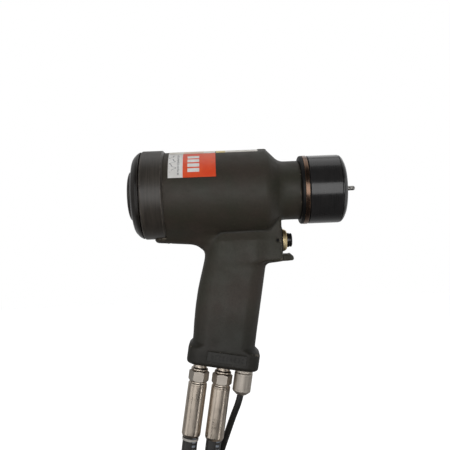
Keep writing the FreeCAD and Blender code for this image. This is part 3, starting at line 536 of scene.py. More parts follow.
def make_nose():
    # The guard ring in near-black seal rubber: a black ring, made dark enough to also carry the shade behind
    # the lock ring
    turned("guard_ring", barrel_frame, [
        (68.5, 26.05), (71.4, 26.05), (71.4, 31.5), (69.9, 31.5), (68.5, 30.0, 1.6)], "rubber", soft=0.3,
        segments=128)
    turned("lock_ring", barrel_frame, [
        (71.4, 26.05), (75.2, 26.05), (75.2, 31.4), (74.9, 31.7), (71.7, 31.7), (71.4, 31.4)],
        "bronze_ring", soft=0.4, segments=128)
    sleeve("spacer_washer", barrel_frame, 75.2, 76.2, 30.2, 26.05, "rubber", segments=128)
    turned("nose_collar", barrel_frame, [
        (76.2, 26.05), (88.3, 26.05), (88.3, 17.5), (104.3, 17.5), (104.3, 31.1), (104.0, 31.4),
        (76.5, 31.4), (76.2, 31.1)], "oxide_steel", soft=0.3, segments=128)
    turned("nose_plate", barrel_frame, [
        (99.3, 4.0), (109.4, 4.0), (109.4, 11.0), (108.6, 12.0), (108.6, 23.5), (109.4, 24.5), (109.4, 25.6),
        (108.7, 26.6), (105.4, 31.1, 7.5), (104.7, 30.8), (104.7, 29.4), (104.3, 29.4), (104.3, 17.4),
        (99.3, 17.4)], "oxide_steel", segments=128)
    turned("ejector_pin", barrel_frame, [
        (60.4, 0), (120.8, 0), (120.3, 1.55, 1.6), (119.2, 2.15, 2.2), (60.4, 2.15)], "steel",
        body="piston_group", segments=48, soft=0.1)


def make_trigger():
    turned("trigger_bezel", trigger_frame, [
        (40.5, 7.5), (48.8, 7.5), (48.8, 6.7), (55.4, 6.7), (55.4, 8.3), (51.4, 10.4, 5.5), (51.4, 8.3),
        (40.5, 8.3)], "brass", soft=0.3)
    sleeve("bezel_gasket", trigger_frame, 50.2, 51.4, 12.5, 8.35, "rubber", soft=0.5)
    turned("trigger_button", trigger_frame, [
        (41.2, 0), (41.2, 2.0), (45.6, 2.0), (45.6, 7.2), (48.5, 7.2), (48.5, 6.65), (57.7, 6.65),
        (57.9, 6.1), (58.5, 6.1), (58.7, 6.5), (59.8, 6.3), (60.4, 5.3), (60.4, 4.0), (59.9, 3.2), (59.9, 0)],
        "black_plastic", body="trigger", soft=0.2)


def make_base_fittings():
    for name, across in (("pull_hose", REAR_PORT), ("return_hose", FRONT_PORT)):
        place = port_frames[across]
        turned(f"{name}_nipple", place, [
            (47.5, 2.6), (75.0, 2.6), (75.0, 4.9), (67.8, 4.9), (67.8, 7.2), (67.2, 7.9), (65.9, 7.9),
            (64.7, 6.3), (60.7, 6.3), (59.4, 6.75), (47.5, 6.75)], "plated_steel", soft=0.35)
        hexagon_nut(f"{name}_nut", place, 67.9, 77.8, 16.4, 5.0, "plated_steel")
        turned(f"{name}_ferrule", place, [
            (75.2, 2.6), (126.9, 2.6), (126.9, 7.1), (129.5, 7.1), (129.5, 7.85), (127.3, 8.85), (81.6, 8.85),
            (81.4, 8.6), (80.9, 8.6), (80.7, 8.85), (79.8, 8.85), (78.8, 7.95), (77.9, 7.95), (77.9, 4.9),
            (75.2, 4.9)], "plated_steel", soft=0.35, segments=120, shape=crimped(83.5, 125.5, 8, 0.08))
        sleeve(f"{name.split('_')[0]}_port_seal", place, 59.4, 60.6, 7.6, 6.8, "rubber", soft=0.5)
    sleeve("hose_marker_ring", port_frames[REAR_PORT], 130.8, 133.0, 7.7, 7.1, "label_pale", soft=0.3)

    place = port_frames[CORD_PORT]

    def two_flats(along, radius, angle):
        if radius > 8.0 and along < 64.3:
            return min(radius, 7.2 / max(abs(math.cos(angle)), 1e-6))
        return radius

    turned("relief_body", place, [
        (49.0, 3.6), (69.0, 3.6), (69.0, 6.0), (64.3, 6.0), (64.3, 8.1), (64.1, 8.3), (59.7, 8.3),
        (59.5, 8.1), (59.5, 6.05), (49.0, 6.05)], "nickel", soft=0.2, segments=120, shape=two_flats)
    turned("relief_nut", place, [
        (64.4, 6.05), (71.0, 6.05), (71.0, 5.6), (82.8, 5.6), (82.8, 3.9), (84.9, 3.9), (84.9, 4.8),
        (82.2, 7.9), (81.2, 8.5, 3.0), (65.0, 8.5), (64.4, 7.9)], "nickel", soft=0.3, segments=120)
    sleeve("relief_grommet", place, 71.2, 82.7, 5.5, 3.15, "rubber")


def make_far_ends():
    for name, place in (("pull_hose", pull_end_frame), ("return_hose", return_end_frame)):
        turned(f"{name}_far_ferrule", place, [
            (3.6, 2.6), (34.0, 2.6), (34.0, 7.9), (32.8, 8.85), (2.2, 8.85), (0, 7.85), (0, 7.1), (3.6, 7.1)],
            "plated_steel", soft=0.35, segments=120, shape=crimped(4.0, 30.0, 8, 0.08))
    hexagon_nut("pull_coupler_nut", pull_end_frame, 34.1, 44.0, 19.0, 6.0, "plated_steel")
    turned("pull_coupler_nipple", pull_end_frame, [
        (36.0, 2.8), (70.0, 2.8), (70.0, 7.6), (69.2, 8.4), (57.0, 8.4), (55.6, 7.2), (52.8, 7.2),
        (51.4, 8.9), (44.1, 8.9), (44.1, 5.9), (36.0, 5.9)], "plated_steel")

    hexagon_nut("return_coupler_nut", return_end_frame, 34.1, 45.0, 21.0, 6.0, "plated_steel")
    turned("return_coupler_body", return_end_frame, [
        (36.0, 2.8), (61.0, 2.8), (61.0, 8.5), (80.0, 8.5), (80.0, 10.4), (79.4, 11.0), (77.7, 11.0),
        (77.7, 10.3), (76.5, 10.3), (76.5, 11.0), (50.4, 11.0), (50.4, 9.2), (45.1, 9.2), (45.1, 5.9),
        (36.0, 5.9)], "plated_steel")
    sleeve("coupler_snap_ring", return_end_frame, 76.6, 77.6, 12.0, 10.35, "steel", soft=0.4)

    def knurled(along, radius, angle):
        rough = 57.4 < along < 75.4 and radius > 13.3
        return radius - (0.22 * (0.5 + 0.5 * math.cos(40 * angle)) if rough else 0.0)
    turned("coupler_sleeve", return_end_frame, [
        (56.0, 11.05), (76.2, 11.05), (76.2, 12.9), (75.4, 13.4), (72.6, 13.4), (71.8, 12.7), (70.2, 12.7),
        (69.4, 13.4), (66.6, 13.4), (65.8, 12.7), (64.2, 12.7), (63.4, 13.4), (57.4, 13.4), (56.0, 12.4)],
        "plated_steel", body="coupler_sleeve", segments=160, shape=knurled)

    turned("cord_plug", plug_frame, [
        (4.2, 0), (34.0, 0), (34.0, 6.6), (33.2, 7.4), (14.0, 7.4), (13.0, 6.2), (10.2, 5.75), (9.6, 5.2),
        (8.6, 5.05), (8.0, 5.4), (6.4, 5.15), (5.8, 4.7), (4.8, 4.6), (4.2, 5.0), (0, 4.4), (0, 3.15),
        (4.2, 3.15)], "switch_plastic", soft=0.3)

    def finger_ribs(along, radius, angle):
        off_groove = abs((angle + math.pi / 12) % (math.pi / 6) - math.pi / 12) * 8.8
        return radius - max(0.0, 0.55 * (1 - (off_groove / 1.1) ** 2)) if radius > 8.0 else radius
    turned("plug_ring", plug_frame, [
        (18.0, 7.45), (31.0, 7.45), (31.0, 8.3), (30.2, 8.8), (18.8, 8.8), (18.0, 8.3)], "nickel",
        body="plug_ring", segments=168, shape=finger_ribs)


def coil(node, place, start, end, coil_r, wire_r, body, turns=4):
    """A round-wire spring about the own X axis."""
    around, steps = 10, turns * 30
    vertices, faces = [], []
    for step in range(steps + 1):
        along = start + wire_r + (end - start - 2 * wire_r) * step / steps
        turn = 2 * math.pi * turns * step / steps
        for side in range(around):
            angle = 2 * math.pi * side / around
            reach = coil_r + wire_r * math.cos(angle)
            spot = Vector((along + wire_r * math.sin(angle), reach * math.cos(turn), reach * math.sin(turn)))
            vertices.append(place @ (spot * MM))
    for first in range(0, steps * around, around):
        faces += ring_faces(first, first + around, around)
    faces.append(list(range(around)))
    faces.append([steps * around + side for side in reversed(range(around))])
    mesh = bpy.data.meshes.new(f"{node}_wire")
    mesh.from_pydata(vertices, [], faces)
    mesh.polygons.foreach_set("use_smooth", [True] * len(mesh.polygons))
    obj = add_skin(f"{node}_wire", mesh, node, "steel", body)
    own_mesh(obj)


coil("trigger_spring", trigger_frame, 39.8, 45.3, 4.6, 0.25, ROOT)
coil("follower_spring", barrel_frame, 70.2, 79.1, 6.4, 0.6, "piston_group")
make_rear()
make_nose()
make_trigger()
make_base_fittings()
make_far_ends()


# ---------------------------------------------------------------- straps

BAND_STEP = 1.5                    # mm between the sections of a band


def strap(node, middle, height, centres, tab_at):
    """A webbing band round the cords that cross one level, closed by an overlapping tab."""
    area = sum(a[0] * b[1] - b[0] * a[1] for a, b in zip(centres, centres[1:] + centres[:1]))
    corners = [Vector(centre) for centre in (centres if area > 0 else centres[::-1])]
    inner, thick = HOSE_R + 1.0, 1.4
    path = []
    for index, centre in enumerate(corners):
        arriving = (centre - corners[index - 1]).normalized()
        leaving = (corners[(index + 1) % len(corners)] - centre).normalized()
        first = math.atan2(-arriving.x, arriving.y)
        turn = -arriving.angle_signed(leaving)
        steps = max(3, int(abs(turn) / 0.12))
        for step in range(steps + 1):
            angle = first + turn * step / steps
            path.append((centre, Vector((math.cos(angle), math.sin(angle)))))
    line = [(centre + outward * inner, outward) for centre, outward in path]
    dense = []
    for (start, out_a), (end, out_b) in zip(line, line[1:] + line[:1]):
        steps = max(1, int((end - start).length / BAND_STEP))
        for step in range(steps):
            share = step / steps
            dense.append((start.lerp(end, share), out_a.lerp(out_b, share).normalized()))
    vertices, faces = [], []
    half, soft = height / 2, 0.45
    profile = [(0.0, half - soft), (0.15, half - 0.1), (0.6, half), (thick - 0.6, half),
               (thick - 0.1, half - 0.1), (thick, half - soft), (thick, half / 3), (thick, -half / 3),
               (thick, soft - half), (thick - 0.1, 0.1 - half), (thick - 0.6, -half), (0.6, -half),
               (0.15, 0.1 - half),
               (0.0, soft - half), (0.0, -half / 3), (0.0, half / 3)]
    for index, (place, outward) in enumerate(dense):
        sway = 0.25 * math.sin(index * 2 * math.pi * 3 / len(dense))
        for out, up in profile:
            spot = place + outward * out
            vertices.append(point(spot.x, spot.y, middle + up + sway * (1 if abs(up) > half / 2 else 0)))
    count, wide = len(dense), len(profile)
    for index in range(count):
        faces += ring_faces(index * wide, (index + 1) % count * wide, wide)

    # The free end: a second layer over part of the band, tapered where it lifts off
    first = int(tab_at * count)
    tab = range(first, first + int(22 / BAND_STEP))
    base = len(vertices)
    for order, index in enumerate(tab):
        place, outward = dense[index % count]
        share = order / (len(tab) - 1)
        start = thick - 0.1
        cover = 1.1 * float(smooth_step(np.array(share * 5))) + 0.15
        narrow = half - 0.3 - 2.2 * float(smooth_step(np.array((share - 0.85) / 0.15)))
        for out, up in ((start, narrow - 0.2), (start + cover - 0.15, narrow),
                        (start + cover, narrow - 0.5), (start + cover, 0.5 - narrow),
                        (start + cover - 0.15, -narrow), (start, 0.2 - narrow)):
            spot = place + outward * out
            vertices.append(point(spot.x, spot.y, middle + up))
    for order in range(len(tab) - 1):
        faces += ring_faces(base + order * 6, base + order * 6 + 6, 6)
    faces.append([base + spot for spot in range(6)])
    faces.append([base + (len(tab) - 1) * 6 + spot for spot in range(6)])
    mesh = bpy.data.meshes.new(f"{node}_band")
    mesh.from_pydata(vertices, [], faces)
    tidy_normals(mesh)
    mesh.polygons.foreach_set("use_smooth", [True] * len(mesh.polygons))
    mesh.set_sharp_from_angle(angle=math.radians(50))
    add_skin(f"{node}_band", mesh, node, "webbing")


OUTER_R = LOOP_R + HOSE_SPACING
CORD_LOOP_R = LOOP_R + HOSE_SPACING / 2
RUN_SHARE = math.cos(math.radians(15))
strap("rear_strap", -267.0, 12.0, [(-43.2, 0), (-32.2, 5.6), (-20.6, 0), (-19.2, -25.9)], 0.05)
strap("front_strap", LOOP_Z, 14.0, [(LOOP_X + LOOP_R * RUN_SHARE, LOOP_SHIFT / 2),
                                    (LOOP_X + CORD_LOOP_R * RUN_SHARE, 0.8),
                                    (LOOP_X + OUTER_R * RUN_SHARE, LOOP_SHIFT / 2)], 0.55)


# ---------------------------------------------------------------- finishes

def linear(red, green, blue):
    """An sRGB colour of 0 to 255 as linear light."""
    def one(value):
        value /= 255
        return value / 12.92 if value <= 0.04045 else ((value + 0.055) / 1.055) ** 2.4
    return (one(red), one(green), one(blue), 1.0)


class Finish:
    """A material put together from procedural layers over object coordinates, in metres."""

    def __init__(self, name, roughness, metallic=0.0, **sockets):
        self.material = bpy.data.materials.new(name)
        self.material.use_nodes = True
        self.tree = self.material.node_tree
        self.shader = self.tree.nodes["Principled BSDF"]
        self.shader.inputs["Roughness"].default_value = roughness
        self.shader.inputs["Metallic"].default_value = metallic
        for socket, value in sockets.items():
            self.shader.inputs[socket.replace("_", " ")].default_value = value
        self.place = self.node("ShaderNodeTexCoord").outputs["Object"]
        self.normal = None

    def node(self, kind, inputs=(), **settings):
        node = self.tree.nodes.new(kind)
        for name, value in settings.items():
            setattr(node, name, value)
        for socket, value in dict(inputs).items():
            if isinstance(value, bpy.types.NodeSocket):
                self.tree.links.new(value, node.inputs[socket])
            else:
                node.inputs[socket].default_value = value
        return node

    def math(self, operation, first, second=0.5):
        node = self.node("ShaderNodeMath", {0: first, 1: second}, operation=operation)
        return node.outputs[0]

    def times(self, first, second):
        return self.math("MULTIPLY", first, second)

    def within(self, value, low, high):
        """1 between low and high, else 0."""
        return self.times(self.math("GREATER_THAN", value, low), self.math("LESS_THAN", value, high))

    def near(self, value, middle, reach):
        """1 within reach of the middle, else 0."""
        off = self.math("ABSOLUTE", self.math("SUBTRACT", value, middle))
        return self.math("LESS_THAN", off, reach)

    def noise(self, scale, detail=2.0, rough=0.5, stretch=(1, 1, 1), turn=0.0):
        """Noise from 0 to 1 about 0.5; stretch multiplies the scale along each axis of a turned frame."""
        spot = self.place
        if turn:
            spot = self.node("ShaderNodeVectorRotate",
                             {"Vector": spot, "Axis": (0, 1, 0), "Angle": turn}).outputs[0]
        if stretch != (1, 1, 1):
            spot = self.node("ShaderNodeMapping", {"Vector": spot, "Scale": stretch}).outputs[0]
        node = self.node("ShaderNodeTexNoise",
                         {"Vector": spot, "Scale": scale, "Detail": detail, "Roughness": rough})
        return node.outputs[0]

    def span(self, value, low, high, start=0.0, end=1.0):
        """Value taken from the range low to high into start to end, held at both ends."""
        node = self.node("ShaderNodeMapRange", {"Value": value, "From Min": low, "From Max": high,
                                                "To Min": start, "To Max": end})
        return node.outputs[0]

    def mix(self, share, first, second):
        node = self.node("ShaderNodeMix", data_type="RGBA")
        for socket, value in ((node.inputs[0], share), (node.inputs[6], first), (node.inputs[7], second)):
            if isinstance(value, bpy.types.NodeSocket):
                self.tree.links.new(value, socket)
            else:
                socket.default_value = value
        return node.outputs[2]

    def patched(self, scale, dark, light):
        """Two close colours in soft patches."""
        return self.mix(self.span(self.noise(scale, 3, 0.6), 0.35, 0.65), dark, light)

    def colour(self, value):
        self.tree.links.new(value, self.shader.inputs["Base Color"])

    def roughness(self, value):
        self.tree.links.new(value, self.shader.inputs["Roughness"])

    def bump(self, height, distance, strength=1.0):
        """Adds one layer of relief; distance is its depth in metres."""
        inputs = {"Height": height, "Distance": distance, "Strength": strength}
        if self.normal:
            inputs["Normal"] = self.normal
        self.normal = self.node("ShaderNodeBump", inputs).outputs[0]
        self.tree.links.new(self.normal, self.shader.inputs["Normal"])

    def edge(self):
        """1 on worn edges, about 0.5 on a casting's flat skin and less in its creases, where it gives dirt
        and painted shade, and 0 on a turned piece's.
        """
        return self.node("ShaderNodeAttribute", attribute_name="edge").outputs["Fac"]

    def xyz(self, spot=None):
        return self.node("ShaderNodeSeparateXYZ", {"Vector": spot or self.place}).outputs


def painted_casting():
    """Matte olive-brown enamel over a sand casting, bare on the sharpest edges, with dirt and painted shade
    in its creases and painted shade towards the base.
    """
    paint = Finish("cast_enamel", 0.5, Specular_IOR_Level=0.34)
    base = paint.patched(28, linear(55, 54, 44), linear(63, 55, 48))
    fine = paint.noise(420, 4, 0.65)
    base = paint.mix(paint.span(fine, 0.3, 0.75, 0.0, 0.3), base, linear(34, 33, 28))
    specks = paint.noise(1500, 2, 0.5)
    base = paint.mix(paint.span(specks, 0.66, 0.78, 0.0, 0.25), base, linear(112, 103, 90))
    # Dirt and painted shade in the creases: where the edge attribute falls below 0.5 the enamel goes near
    # black
    crease_dirt_and_shade = paint.span(paint.edge(), 0.42, 0.12, 0.0, 0.62)
    base = paint.mix(crease_dirt_and_shade, base, linear(18, 18, 15))
    # Darker towards the base: painted shade for the light falling off down the grip
    _, _, height = paint.xyz()
    low_shade_height = paint.math("ADD", height, paint.times(paint.noise(40, 3, 0.6), 0.02))
    base = paint.mix(paint.span(low_shade_height, 0.012, -0.04, 0.0, 0.7), base, linear(18, 18, 16))
    chipped = paint.math("ADD", paint.edge(), paint.span(paint.noise(190, 3, 0.7), 0.3, 0.7, -0.34, 0.2))
    base = paint.mix(paint.span(chipped, 0.86, 1.02, 0.0, 0.5), base, linear(120, 111, 98))
    paint.colour(base)
    paint.roughness(paint.span(paint.noise(60, 3, 0.6), 0.3, 0.7, 0.46, 0.62))
    paint.bump(paint.noise(95, 2, 0.5), 0.00035, 0.5)
    paint.bump(paint.noise(760, 3, 0.6), 0.00016, 0.6)
    return paint.material


def turned_black(name, dark, light, roughness, worn, line_scale, level=0.5, metallic=0.0, spread=0.06):
    """Blackened turned metal, with fine lines round the barrel's axis and rubbed edges."""
    black = Finish(name, roughness, metallic, Specular_IOR_Level=level)
    lines = black.noise(line_scale, 2, 0.6, (1.0, 0.02, 0.02))
    base = black.patched(45, dark, light)
    base = black.mix(black.span(lines, 0.35, 0.7, 0.0, 0.22), base, worn)
    rubbed = black.times(black.edge(), black.span(black.noise(160, 4, 0.7), 0.4, 0.62))
    base = black.mix(black.times(rubbed, 0.55), base, worn)
    black.colour(base)
    scuffs = black.noise(90, 4, 0.65)
    black.roughness(black.span(black.math("ADD", scuffs, lines), 0.7, 1.3,
                               roughness - spread, roughness + spread))
    black.bump(lines, 0.00004, 0.5)
    return black.material


def bright_metal(name, low, high, roughness, turn=0.0, stretch=(1, 0.03, 0.03), line_scale=3000, dirt=0.3):
    """Plated or turned metal with fine lines round or along its axis, handling marks and dark grime patches.
    """
    metal = Finish(name, roughness, 1.0)
    lines = metal.noise(line_scale, 2, 0.6, stretch, turn)
    stains = metal.noise(70, 3, 0.6)
    base = metal.mix(metal.span(stains, 0.32, 0.68), low, high)
    worn, dark = (tuple(value * share for value in low[:3]) + (1.0,) for share in (0.6, 0.3))
    base = metal.mix(metal.span(lines, 0.35, 0.7, 0.0, 0.3), base, worn)
    grime = metal.span(metal.noise(150, 4, 0.65), 0.56, 0.8, 0.0, dirt)
    base = metal.mix(grime, base, dark)
    metal.colour(base)
    metal.roughness(metal.span(metal.math("ADD", stains, lines), 0.7, 1.3, roughness - 0.07, roughness + 0.1))
    metal.bump(lines, 0.00001, 0.3)
    return metal.material


def moulded(name, dark, light, roughness, level=0.5, dusty=0.25):
    """Rubber or plastic with a faint grain, scuffs and a little dust."""
    skin = Finish(name, roughness, Specular_IOR_Level=level)
    base = skin.patched(70, dark, light)
    dust = skin.span(skin.noise(900, 3, 0.6), 0.6, 0.78, 0.0, dusty)
    base = skin.mix(dust, base, linear(96, 92, 88))
    skin.colour(base)
    skin.roughness(skin.span(skin.noise(110, 4, 0.7), 0.3, 0.7, roughness - 0.08, roughness + 0.1))
    skin.bump(skin.noise(1400, 3, 0.6), 0.00004, 0.6)
    return skin.material


def webbing():
    """Woven black webbing: ribs across the band, two strands up."""
    cloth = Finish("strap_webbing", 0.85, Sheen_Weight=0.35, Sheen_Roughness=0.5)
    x, y, z = cloth.xyz()
    round_way = cloth.times(cloth.math("ADD", x, y), 5200)
    up_way = cloth.times(z, 3900)
    weave = cloth.times(cloth.math("SINE", round_way), cloth.math("SINE", up_way))
    base = cloth.mix(cloth.span(weave, -0.8, 0.8), linear(26, 26, 27), linear(58, 57, 57))
    base = cloth.mix(cloth.span(cloth.noise(150, 3, 0.6), 0.5, 0.75, 0.0, 0.3), base, linear(80, 77, 74))
    cloth.colour(base)
    cloth.roughness(cloth.span(cloth.noise(200, 2), 0.3, 0.7, 0.78, 0.92))
    cloth.bump(weave, 0.00018, 0.8)
    return cloth.material


def hose_cover(name, dark, light, mark_gap):
    """Smooth black hose cover with cloth-wrap ripple and a line of pale layline marks along it."""
    cover = Finish(name, 0.36, Specular_IOR_Level=0.5)
    base = cover.patched(60, dark, light)
    base = cover.mix(cover.span(cover.noise(1100, 3, 0.6), 0.6, 0.8, 0.0, 0.3), base, linear(104, 104, 104))
    if mark_gap:
        spot = cover.node("ShaderNodeTexCoord").outputs["UV"]
        along, around, _ = cover.xyz(spot)
        cell = cover.times(along, mark_gap)
        bar = cover.math("FRACT", cell)
        block = cover.math("FRACT", cover.times(cell, 0.125))
        in_bar = cover.within(bar, 0.3, 0.8)
        in_block = cover.math("LESS_THAN", block, 0.7)
        in_line = cover.near(around, 0.85, 0.045)
        worn = cover.span(cover.noise(700, 3, 0.7), 0.4, 0.6, 0.25, 0.85)
        mark = cover.times(cover.times(in_bar, in_block), cover.times(in_line, worn))
        base = cover.mix(mark, base, linear(168, 178, 190))
    cover.colour(base)
    cover.roughness(cover.span(cover.noise(140, 4, 0.65), 0.3, 0.7, 0.3, 0.48))
    cover.bump(cover.noise(260, 2, 0.5), 0.00012, 0.5)
    cover.bump(cover.noise(1600, 2, 0.5), 0.00003, 0.5)
    return cover.material


LABEL_R = 0.03895                  # radius of the wrap label, in metres


def wrap_print():
    """The wrap label: on each side a white field with ruled lines and a pen loop, an orange one with bars."""
    film = Finish("wrap_label_print", 0.38)
    x, y, z = film.xyz()
    up = film.math("SUBTRACT", z, AXIS_Z * MM)
    arc = film.times(film.math("ARCTAN2", film.math("ABSOLUTE", y), up), LABEL_R)
    wobble = film.times(film.math("SUBTRACT", film.noise(900, 2), 0.5), 0.0003)
    place = film.math("ADD", x, wobble)

    orange = film.patched(70, linear(240, 80, 42), linear(246, 96, 54))
    white = film.patched(90, linear(250, 249, 247), linear(234, 232, 228))
    bars = film.times(film.within(place, -0.0322, -0.0218), film.within(arc, 0.0222, 0.0444))
    step = film.math("FRACT", film.math("DIVIDE", film.math("SUBTRACT", arc, 0.0222), 0.0056))
    bars = film.times(bars, film.math("LESS_THAN", step, 0.72))
    orange = film.mix(bars, orange, white)

    ruled = film.times(film.within(place, -0.0413, -0.0394), film.within(arc, 0.0195, 0.0455))
    ruled = film.times(ruled, film.math("GREATER_THAN", film.noise(1400, 2, 0.6), 0.5))
    level = film.times(film.math("SINE", film.times(arc, 700.0)), 0.0021)
    sway = film.times(film.math("COSINE", film.times(arc, 1650.0)), 0.0009)
    from_pen = film.math("SUBTRACT", film.math("ADD", x, 0.0455), film.math("ADD", level, sway))
    pen = film.times(film.near(from_pen, 0.0, 0.0004), film.within(arc, 0.020, 0.0405))
    ink = film.math("MAXIMUM", ruled, pen)
    white = film.mix(film.times(ink, 0.75), white, linear(58, 60, 72))
    base = film.mix(film.math("GREATER_THAN", place, -0.0364), white, orange)

    # Over the top the film is pale, with its own faint tint, and a grey line on each side, painted shadow of
    # the overlapping film's edge
    top = film.mix(film.within(place, -0.036, -0.018), linear(246, 241, 230), linear(246, 214, 190))
    base = film.mix(film.math("LESS_THAN", arc, 0.0163), base, top)
    edge_shadow_line = film.times(film.within(arc, 0.0159, 0.0166), film.span(film.noise(200, 2), 0.3, 0.6))
    base = film.mix(edge_shadow_line, base, linear(112, 104, 98))
    grime = film.span(film.noise(240, 5, 0.75), 0.58, 0.76, 0.0, 0.3)
    base = film.mix(grime, base, linear(120, 108, 96))
    film.colour(base)
    film.roughness(film.span(film.noise(180, 3), 0.3, 0.7, 0.32, 0.46))
    film.bump(film.noise(120, 2, 0.5), 0.0002, 0.35)
    return film.material


def top_print():
    """The strip along the top: pale film with a yellow field and short grey rules."""
    film = Finish("top_label_print", 0.4)
    x, y, z = film.xyz()
    rows = film.math("FRACT", film.times(y, 310.0))
    row = film.within(rows, 0.35, 0.6)
    words = film.math("GREATER_THAN", film.noise(650, 1, 0.5, (1, 0.25, 1)), 0.47)
    inside = film.times(film.near(y, 0.0, 0.0118), film.near(x, 0.016, 0.0125))
    ink = film.times(film.times(row, words), inside)
    pale = film.mix(film.math("LESS_THAN", x, 0.0015), linear(247, 243, 232), linear(248, 226, 150))
    base = film.mix(film.times(ink, 0.62), pale, linear(92, 90, 84))
    grime = film.span(film.noise(220, 5, 0.75), 0.56, 0.76, 0.0, 0.35)
    base = film.mix(grime, base, linear(130, 118, 102))
    film.colour(base)
    film.roughness(film.span(film.noise(180, 3), 0.3, 0.7, 0.34, 0.5))
    film.bump(film.noise(120, 2, 0.5), 0.0002, 0.35)
    return film.material


def plate_print():
    """The cast plate in the base: dark enamel with faint raised marks."""
    plate = Finish("plate_enamel", 0.5, Specular_IOR_Level=0.4)
    x, y, z = plate.xyz()
    along = plate.math("ADD", plate.times(x, -math.sin(RAKE)), plate.times(z, -math.cos(RAKE)))
    across = plate.math("SUBTRACT", plate.times(x, math.cos(RAKE)), plate.times(z, math.sin(RAKE)))
    step = plate.math("FRACT", plate.times(across, 290.0))
    stroke = plate.near(step, 0.5, 0.26)
    inside = plate.times(plate.near(along, 0.0498, 0.0022), plate.near(across, 0.0047, 0.0152))
    marks = plate.times(plate.times(stroke, inside),
                        plate.math("GREATER_THAN", plate.noise(420, 2, 0.6), 0.44))
    base = plate.mix(plate.span(plate.noise(320, 4, 0.6), 0.3, 0.7), linear(36, 35, 32), linear(46, 44, 40))
    base = plate.mix(plate.times(marks, 0.5), base, linear(20, 19, 17))
    plate.colour(base)
    plate.roughness(plate.span(plate.noise(160, 3), 0.3, 0.7, 0.44, 0.6))
    plate.bump(marks, 0.0003, 0.7)
    plate.bump(plate.noise(800, 3, 0.6), 0.00012, 0.5)
    return plate.material


DOWN_TURN = RAKE + math.pi / 2

finishes = {
    "casting": painted_casting(),
    "band_black": turned_black("band_enamel", linear(44, 40, 36), linear(51, 46, 41), 0.42,
                               linear(112, 104, 94), 1500),
    "dome_black": turned_black("dome_enamel", linear(22, 20, 18), linear(28, 25, 23), 0.3,
                               linear(84, 76, 70), 900, level=0.34),
    "oxide_steel": turned_black("black_oxide", linear(32, 32, 32), linear(38, 37, 37), 0.18,
                                linear(66, 62, 62), 2600, level=0.56, spread=0.05),
    "bronze_ring": turned_black("dark_bronze", linear(90, 72, 62), linear(106, 87, 76), 0.25,
                                linear(176, 140, 112), 2600, metallic=1.0),
    "bronze": bright_metal("gland_bronze", linear(188, 148, 96), linear(206, 166, 112), 0.3),
    "brass": bright_metal("bezel_brass", linear(240, 212, 156), linear(250, 230, 182), 0.42, dirt=0.1),
    "steel": bright_metal("turned_steel", linear(176, 174, 170), linear(196, 194, 190), 0.28),
    "hard_steel": bright_metal("ground_steel", linear(138, 138, 140), linear(160, 160, 162), 0.3),
    "plated_steel": bright_metal("plated_steel", linear(192, 180, 166), linear(206, 194, 180), 0.3,
                                 turn=-DOWN_TURN, stretch=(0.02, 1, 1), line_scale=900, dirt=0.15),
    "nickel": bright_metal("satin_nickel", linear(182, 174, 164), linear(194, 186, 176), 0.46,
                           turn=-DOWN_TURN, dirt=0.12),
    "black_plastic": moulded("button_plastic", linear(20, 20, 20), linear(28, 27, 26), 0.2),
    "switch_plastic": moulded("connector_plastic", linear(38, 38, 40), linear(50, 50, 52), 0.42),
    # Seal rubber near black; on the guard ring this darkness also stands for the shade behind the lock ring
    "rubber": moulded("seal_rubber", linear(9, 8, 8), linear(13, 12, 12), 0.5, dusty=0.06, level=0.3),
    "hose_rubber": hose_cover("hose_cover", linear(38, 37, 36), linear(50, 48, 47), 220.0),
    "cord_rubber": hose_cover("cord_jacket", linear(26, 25, 24), linear(34, 33, 32), 0.0),
    "label_print": wrap_print(),
    "label_pale": top_print(),
    "plate_black": plate_print(),
    "webbing": webbing(),
}


own_finishes = {
    "hose_marker_ring_skin": moulded("marker_film", linear(176, 172, 166), linear(200, 196, 190), 0.4),
    # The set screw near black: painted shade of the recess it sits in
    "switch_set_screw": moulded("socket_screw_recess_shade", linear(8, 8, 8), linear(14, 13, 13), 0.5, level=0.2),
    "pull_hose_nut_skin": finishes["nickel"],
    "return_hose_nut_skin": finishes["nickel"],
}


def dress():
    """Gives every shown piece the finish of its slot: new pieces by name, CAD nodes by their own material."""
    for obj in bpy.data.objects:
        if obj.type not in ("MESH", "CURVE") or obj.hide_render:
            continue
        if obj.get("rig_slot"):
            obj.data.materials.clear()
            obj.data.materials.append(own_finishes.get(obj.name, finishes[obj["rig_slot"]]))
        elif obj.name in frame["nodes"]:
            for place in obj.material_slots:
                place.material = own_finishes.get(obj.name, finishes[place.material.name])


dress()


# ---------------------------------------------------------------- stage and light

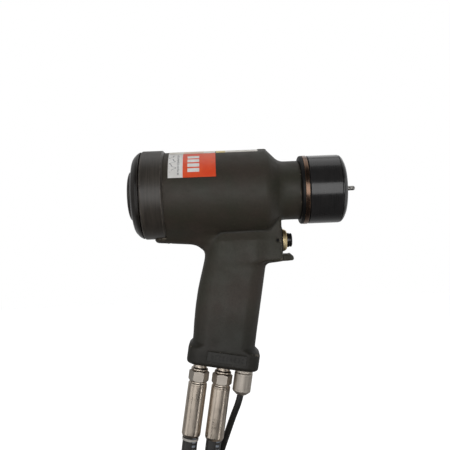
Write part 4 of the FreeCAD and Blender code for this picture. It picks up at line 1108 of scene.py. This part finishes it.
def stage():
    """A pale floor under the lowest point, and a plain bright surround."""
    floor_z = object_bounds()[0][2] - 0.001
    mesh = bpy.data.meshes.new("floor")
    reach = 3.0
    mesh.from_pydata([(-reach, -reach, floor_z), (reach, -reach, floor_z), (reach, reach, floor_z),
                      (-reach, reach, floor_z)], [], [(0, 1, 2, 3)])
    floor = add_object("floor", mesh)
    floor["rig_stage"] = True
    pale = Finish("studio_floor", 0.9)
    pale.colour(pale.mix(pale.span(pale.noise(3, 2), 0.3, 0.7), (0.93, 0.93, 0.93, 1), (0.95, 0.95, 0.95, 1)))
    pale.shader.inputs["Emission Color"].default_value = (1, 1, 1, 1)
    pale.shader.inputs["Emission Strength"].default_value = 0.75
    floor.data.materials.append(pale.material)
    floor.visible_diffuse = False
    floor.visible_glossy = False
    floor.visible_shadow = False

    world = bpy.data.worlds.new("surround")
    bpy.context.scene.world = world
    world.use_nodes = True
    nodes, links = world.node_tree.nodes, world.node_tree.links
    seen, lit = nodes["Background"], nodes.new("ShaderNodeBackground")
    seen.inputs["Color"].default_value = (1, 1, 1, 1)
    place = nodes.new("ShaderNodeTexCoord")
    behind = nodes.new("ShaderNodeVectorMath")
    behind.operation = "DOT_PRODUCT"
    behind.inputs[1].default_value = (0.0, 0.93, 0.3)
    ramp = nodes.new("ShaderNodeValToRGB")
    half = nodes.new("ShaderNodeMapRange")
    half.inputs["From Min"].default_value = -1.0
    links.new(place.outputs["Generated"], behind.inputs[0])
    links.new(behind.outputs["Value"], half.inputs["Value"])
    links.new(half.outputs[0], ramp.inputs[0])
    ramp.color_ramp.elements[0].position, ramp.color_ramp.elements[0].color = 0.42, (0.04, 0.04, 0.04, 1)
    ramp.color_ramp.elements[1].position, ramp.color_ramp.elements[1].color = 0.85, (0.5, 0.5, 0.5, 1)
    links.new(ramp.outputs[0], lit.inputs["Color"])
    mixer, path = nodes.new("ShaderNodeMixShader"), nodes.new("ShaderNodeLightPath")
    links.new(path.outputs["Is Camera Ray"], mixer.inputs[0])
    links.new(lit.outputs[0], mixer.inputs[1])
    links.new(seen.outputs[0], mixer.inputs[2])
    links.new(mixer.outputs[0], nodes["World Output"].inputs[0])


def soft_box(name, place, aim, width, height, power):
    """A rectangular soft box, not itself seen."""
    lamp = bpy.data.lights.new(name, "AREA")
    lamp.shape = "RECTANGLE"
    lamp.size, lamp.size_y, lamp.energy = width, height, power
    obj = add_object(name, lamp)
    obj.location = place
    obj.rotation_euler = (Vector(aim) - Vector(place)).to_track_quat("-Z", "Y").to_euler()
    obj.visible_camera = False


stage()
soft_box("front_box", (-0.15, -1.25, 0.09), (0.0, 0.0, 0.09), 1.7, 0.825, 10.4)
soft_box("left_box", (-1.3, -0.55, 0.0), (0.0, 0.0, 0.0), 0.8, 1.3, 3.2)
soft_box("side_strip", (1.12, -0.76, -0.35), (0.0, 0.0, 0.0), 0.14, 1.7, 2.6)
soft_box("right_box", (1.4, 0.15, -0.1), (0.0, 0.0, 0.0), 0.6, 1.2, 1.8)
soft_box("top_box", (0.0, 0.25, 1.3), (0.0, 0.0, 0.0), 1.6, 0.9, 3.0)
soft_box("back_fill", (0.5, 1.4, 0.9), (0.0, 0.0, 0.0), 1.2, 1.0, 2.0)
bpy.context.scene.view_settings.view_transform = "Standard"
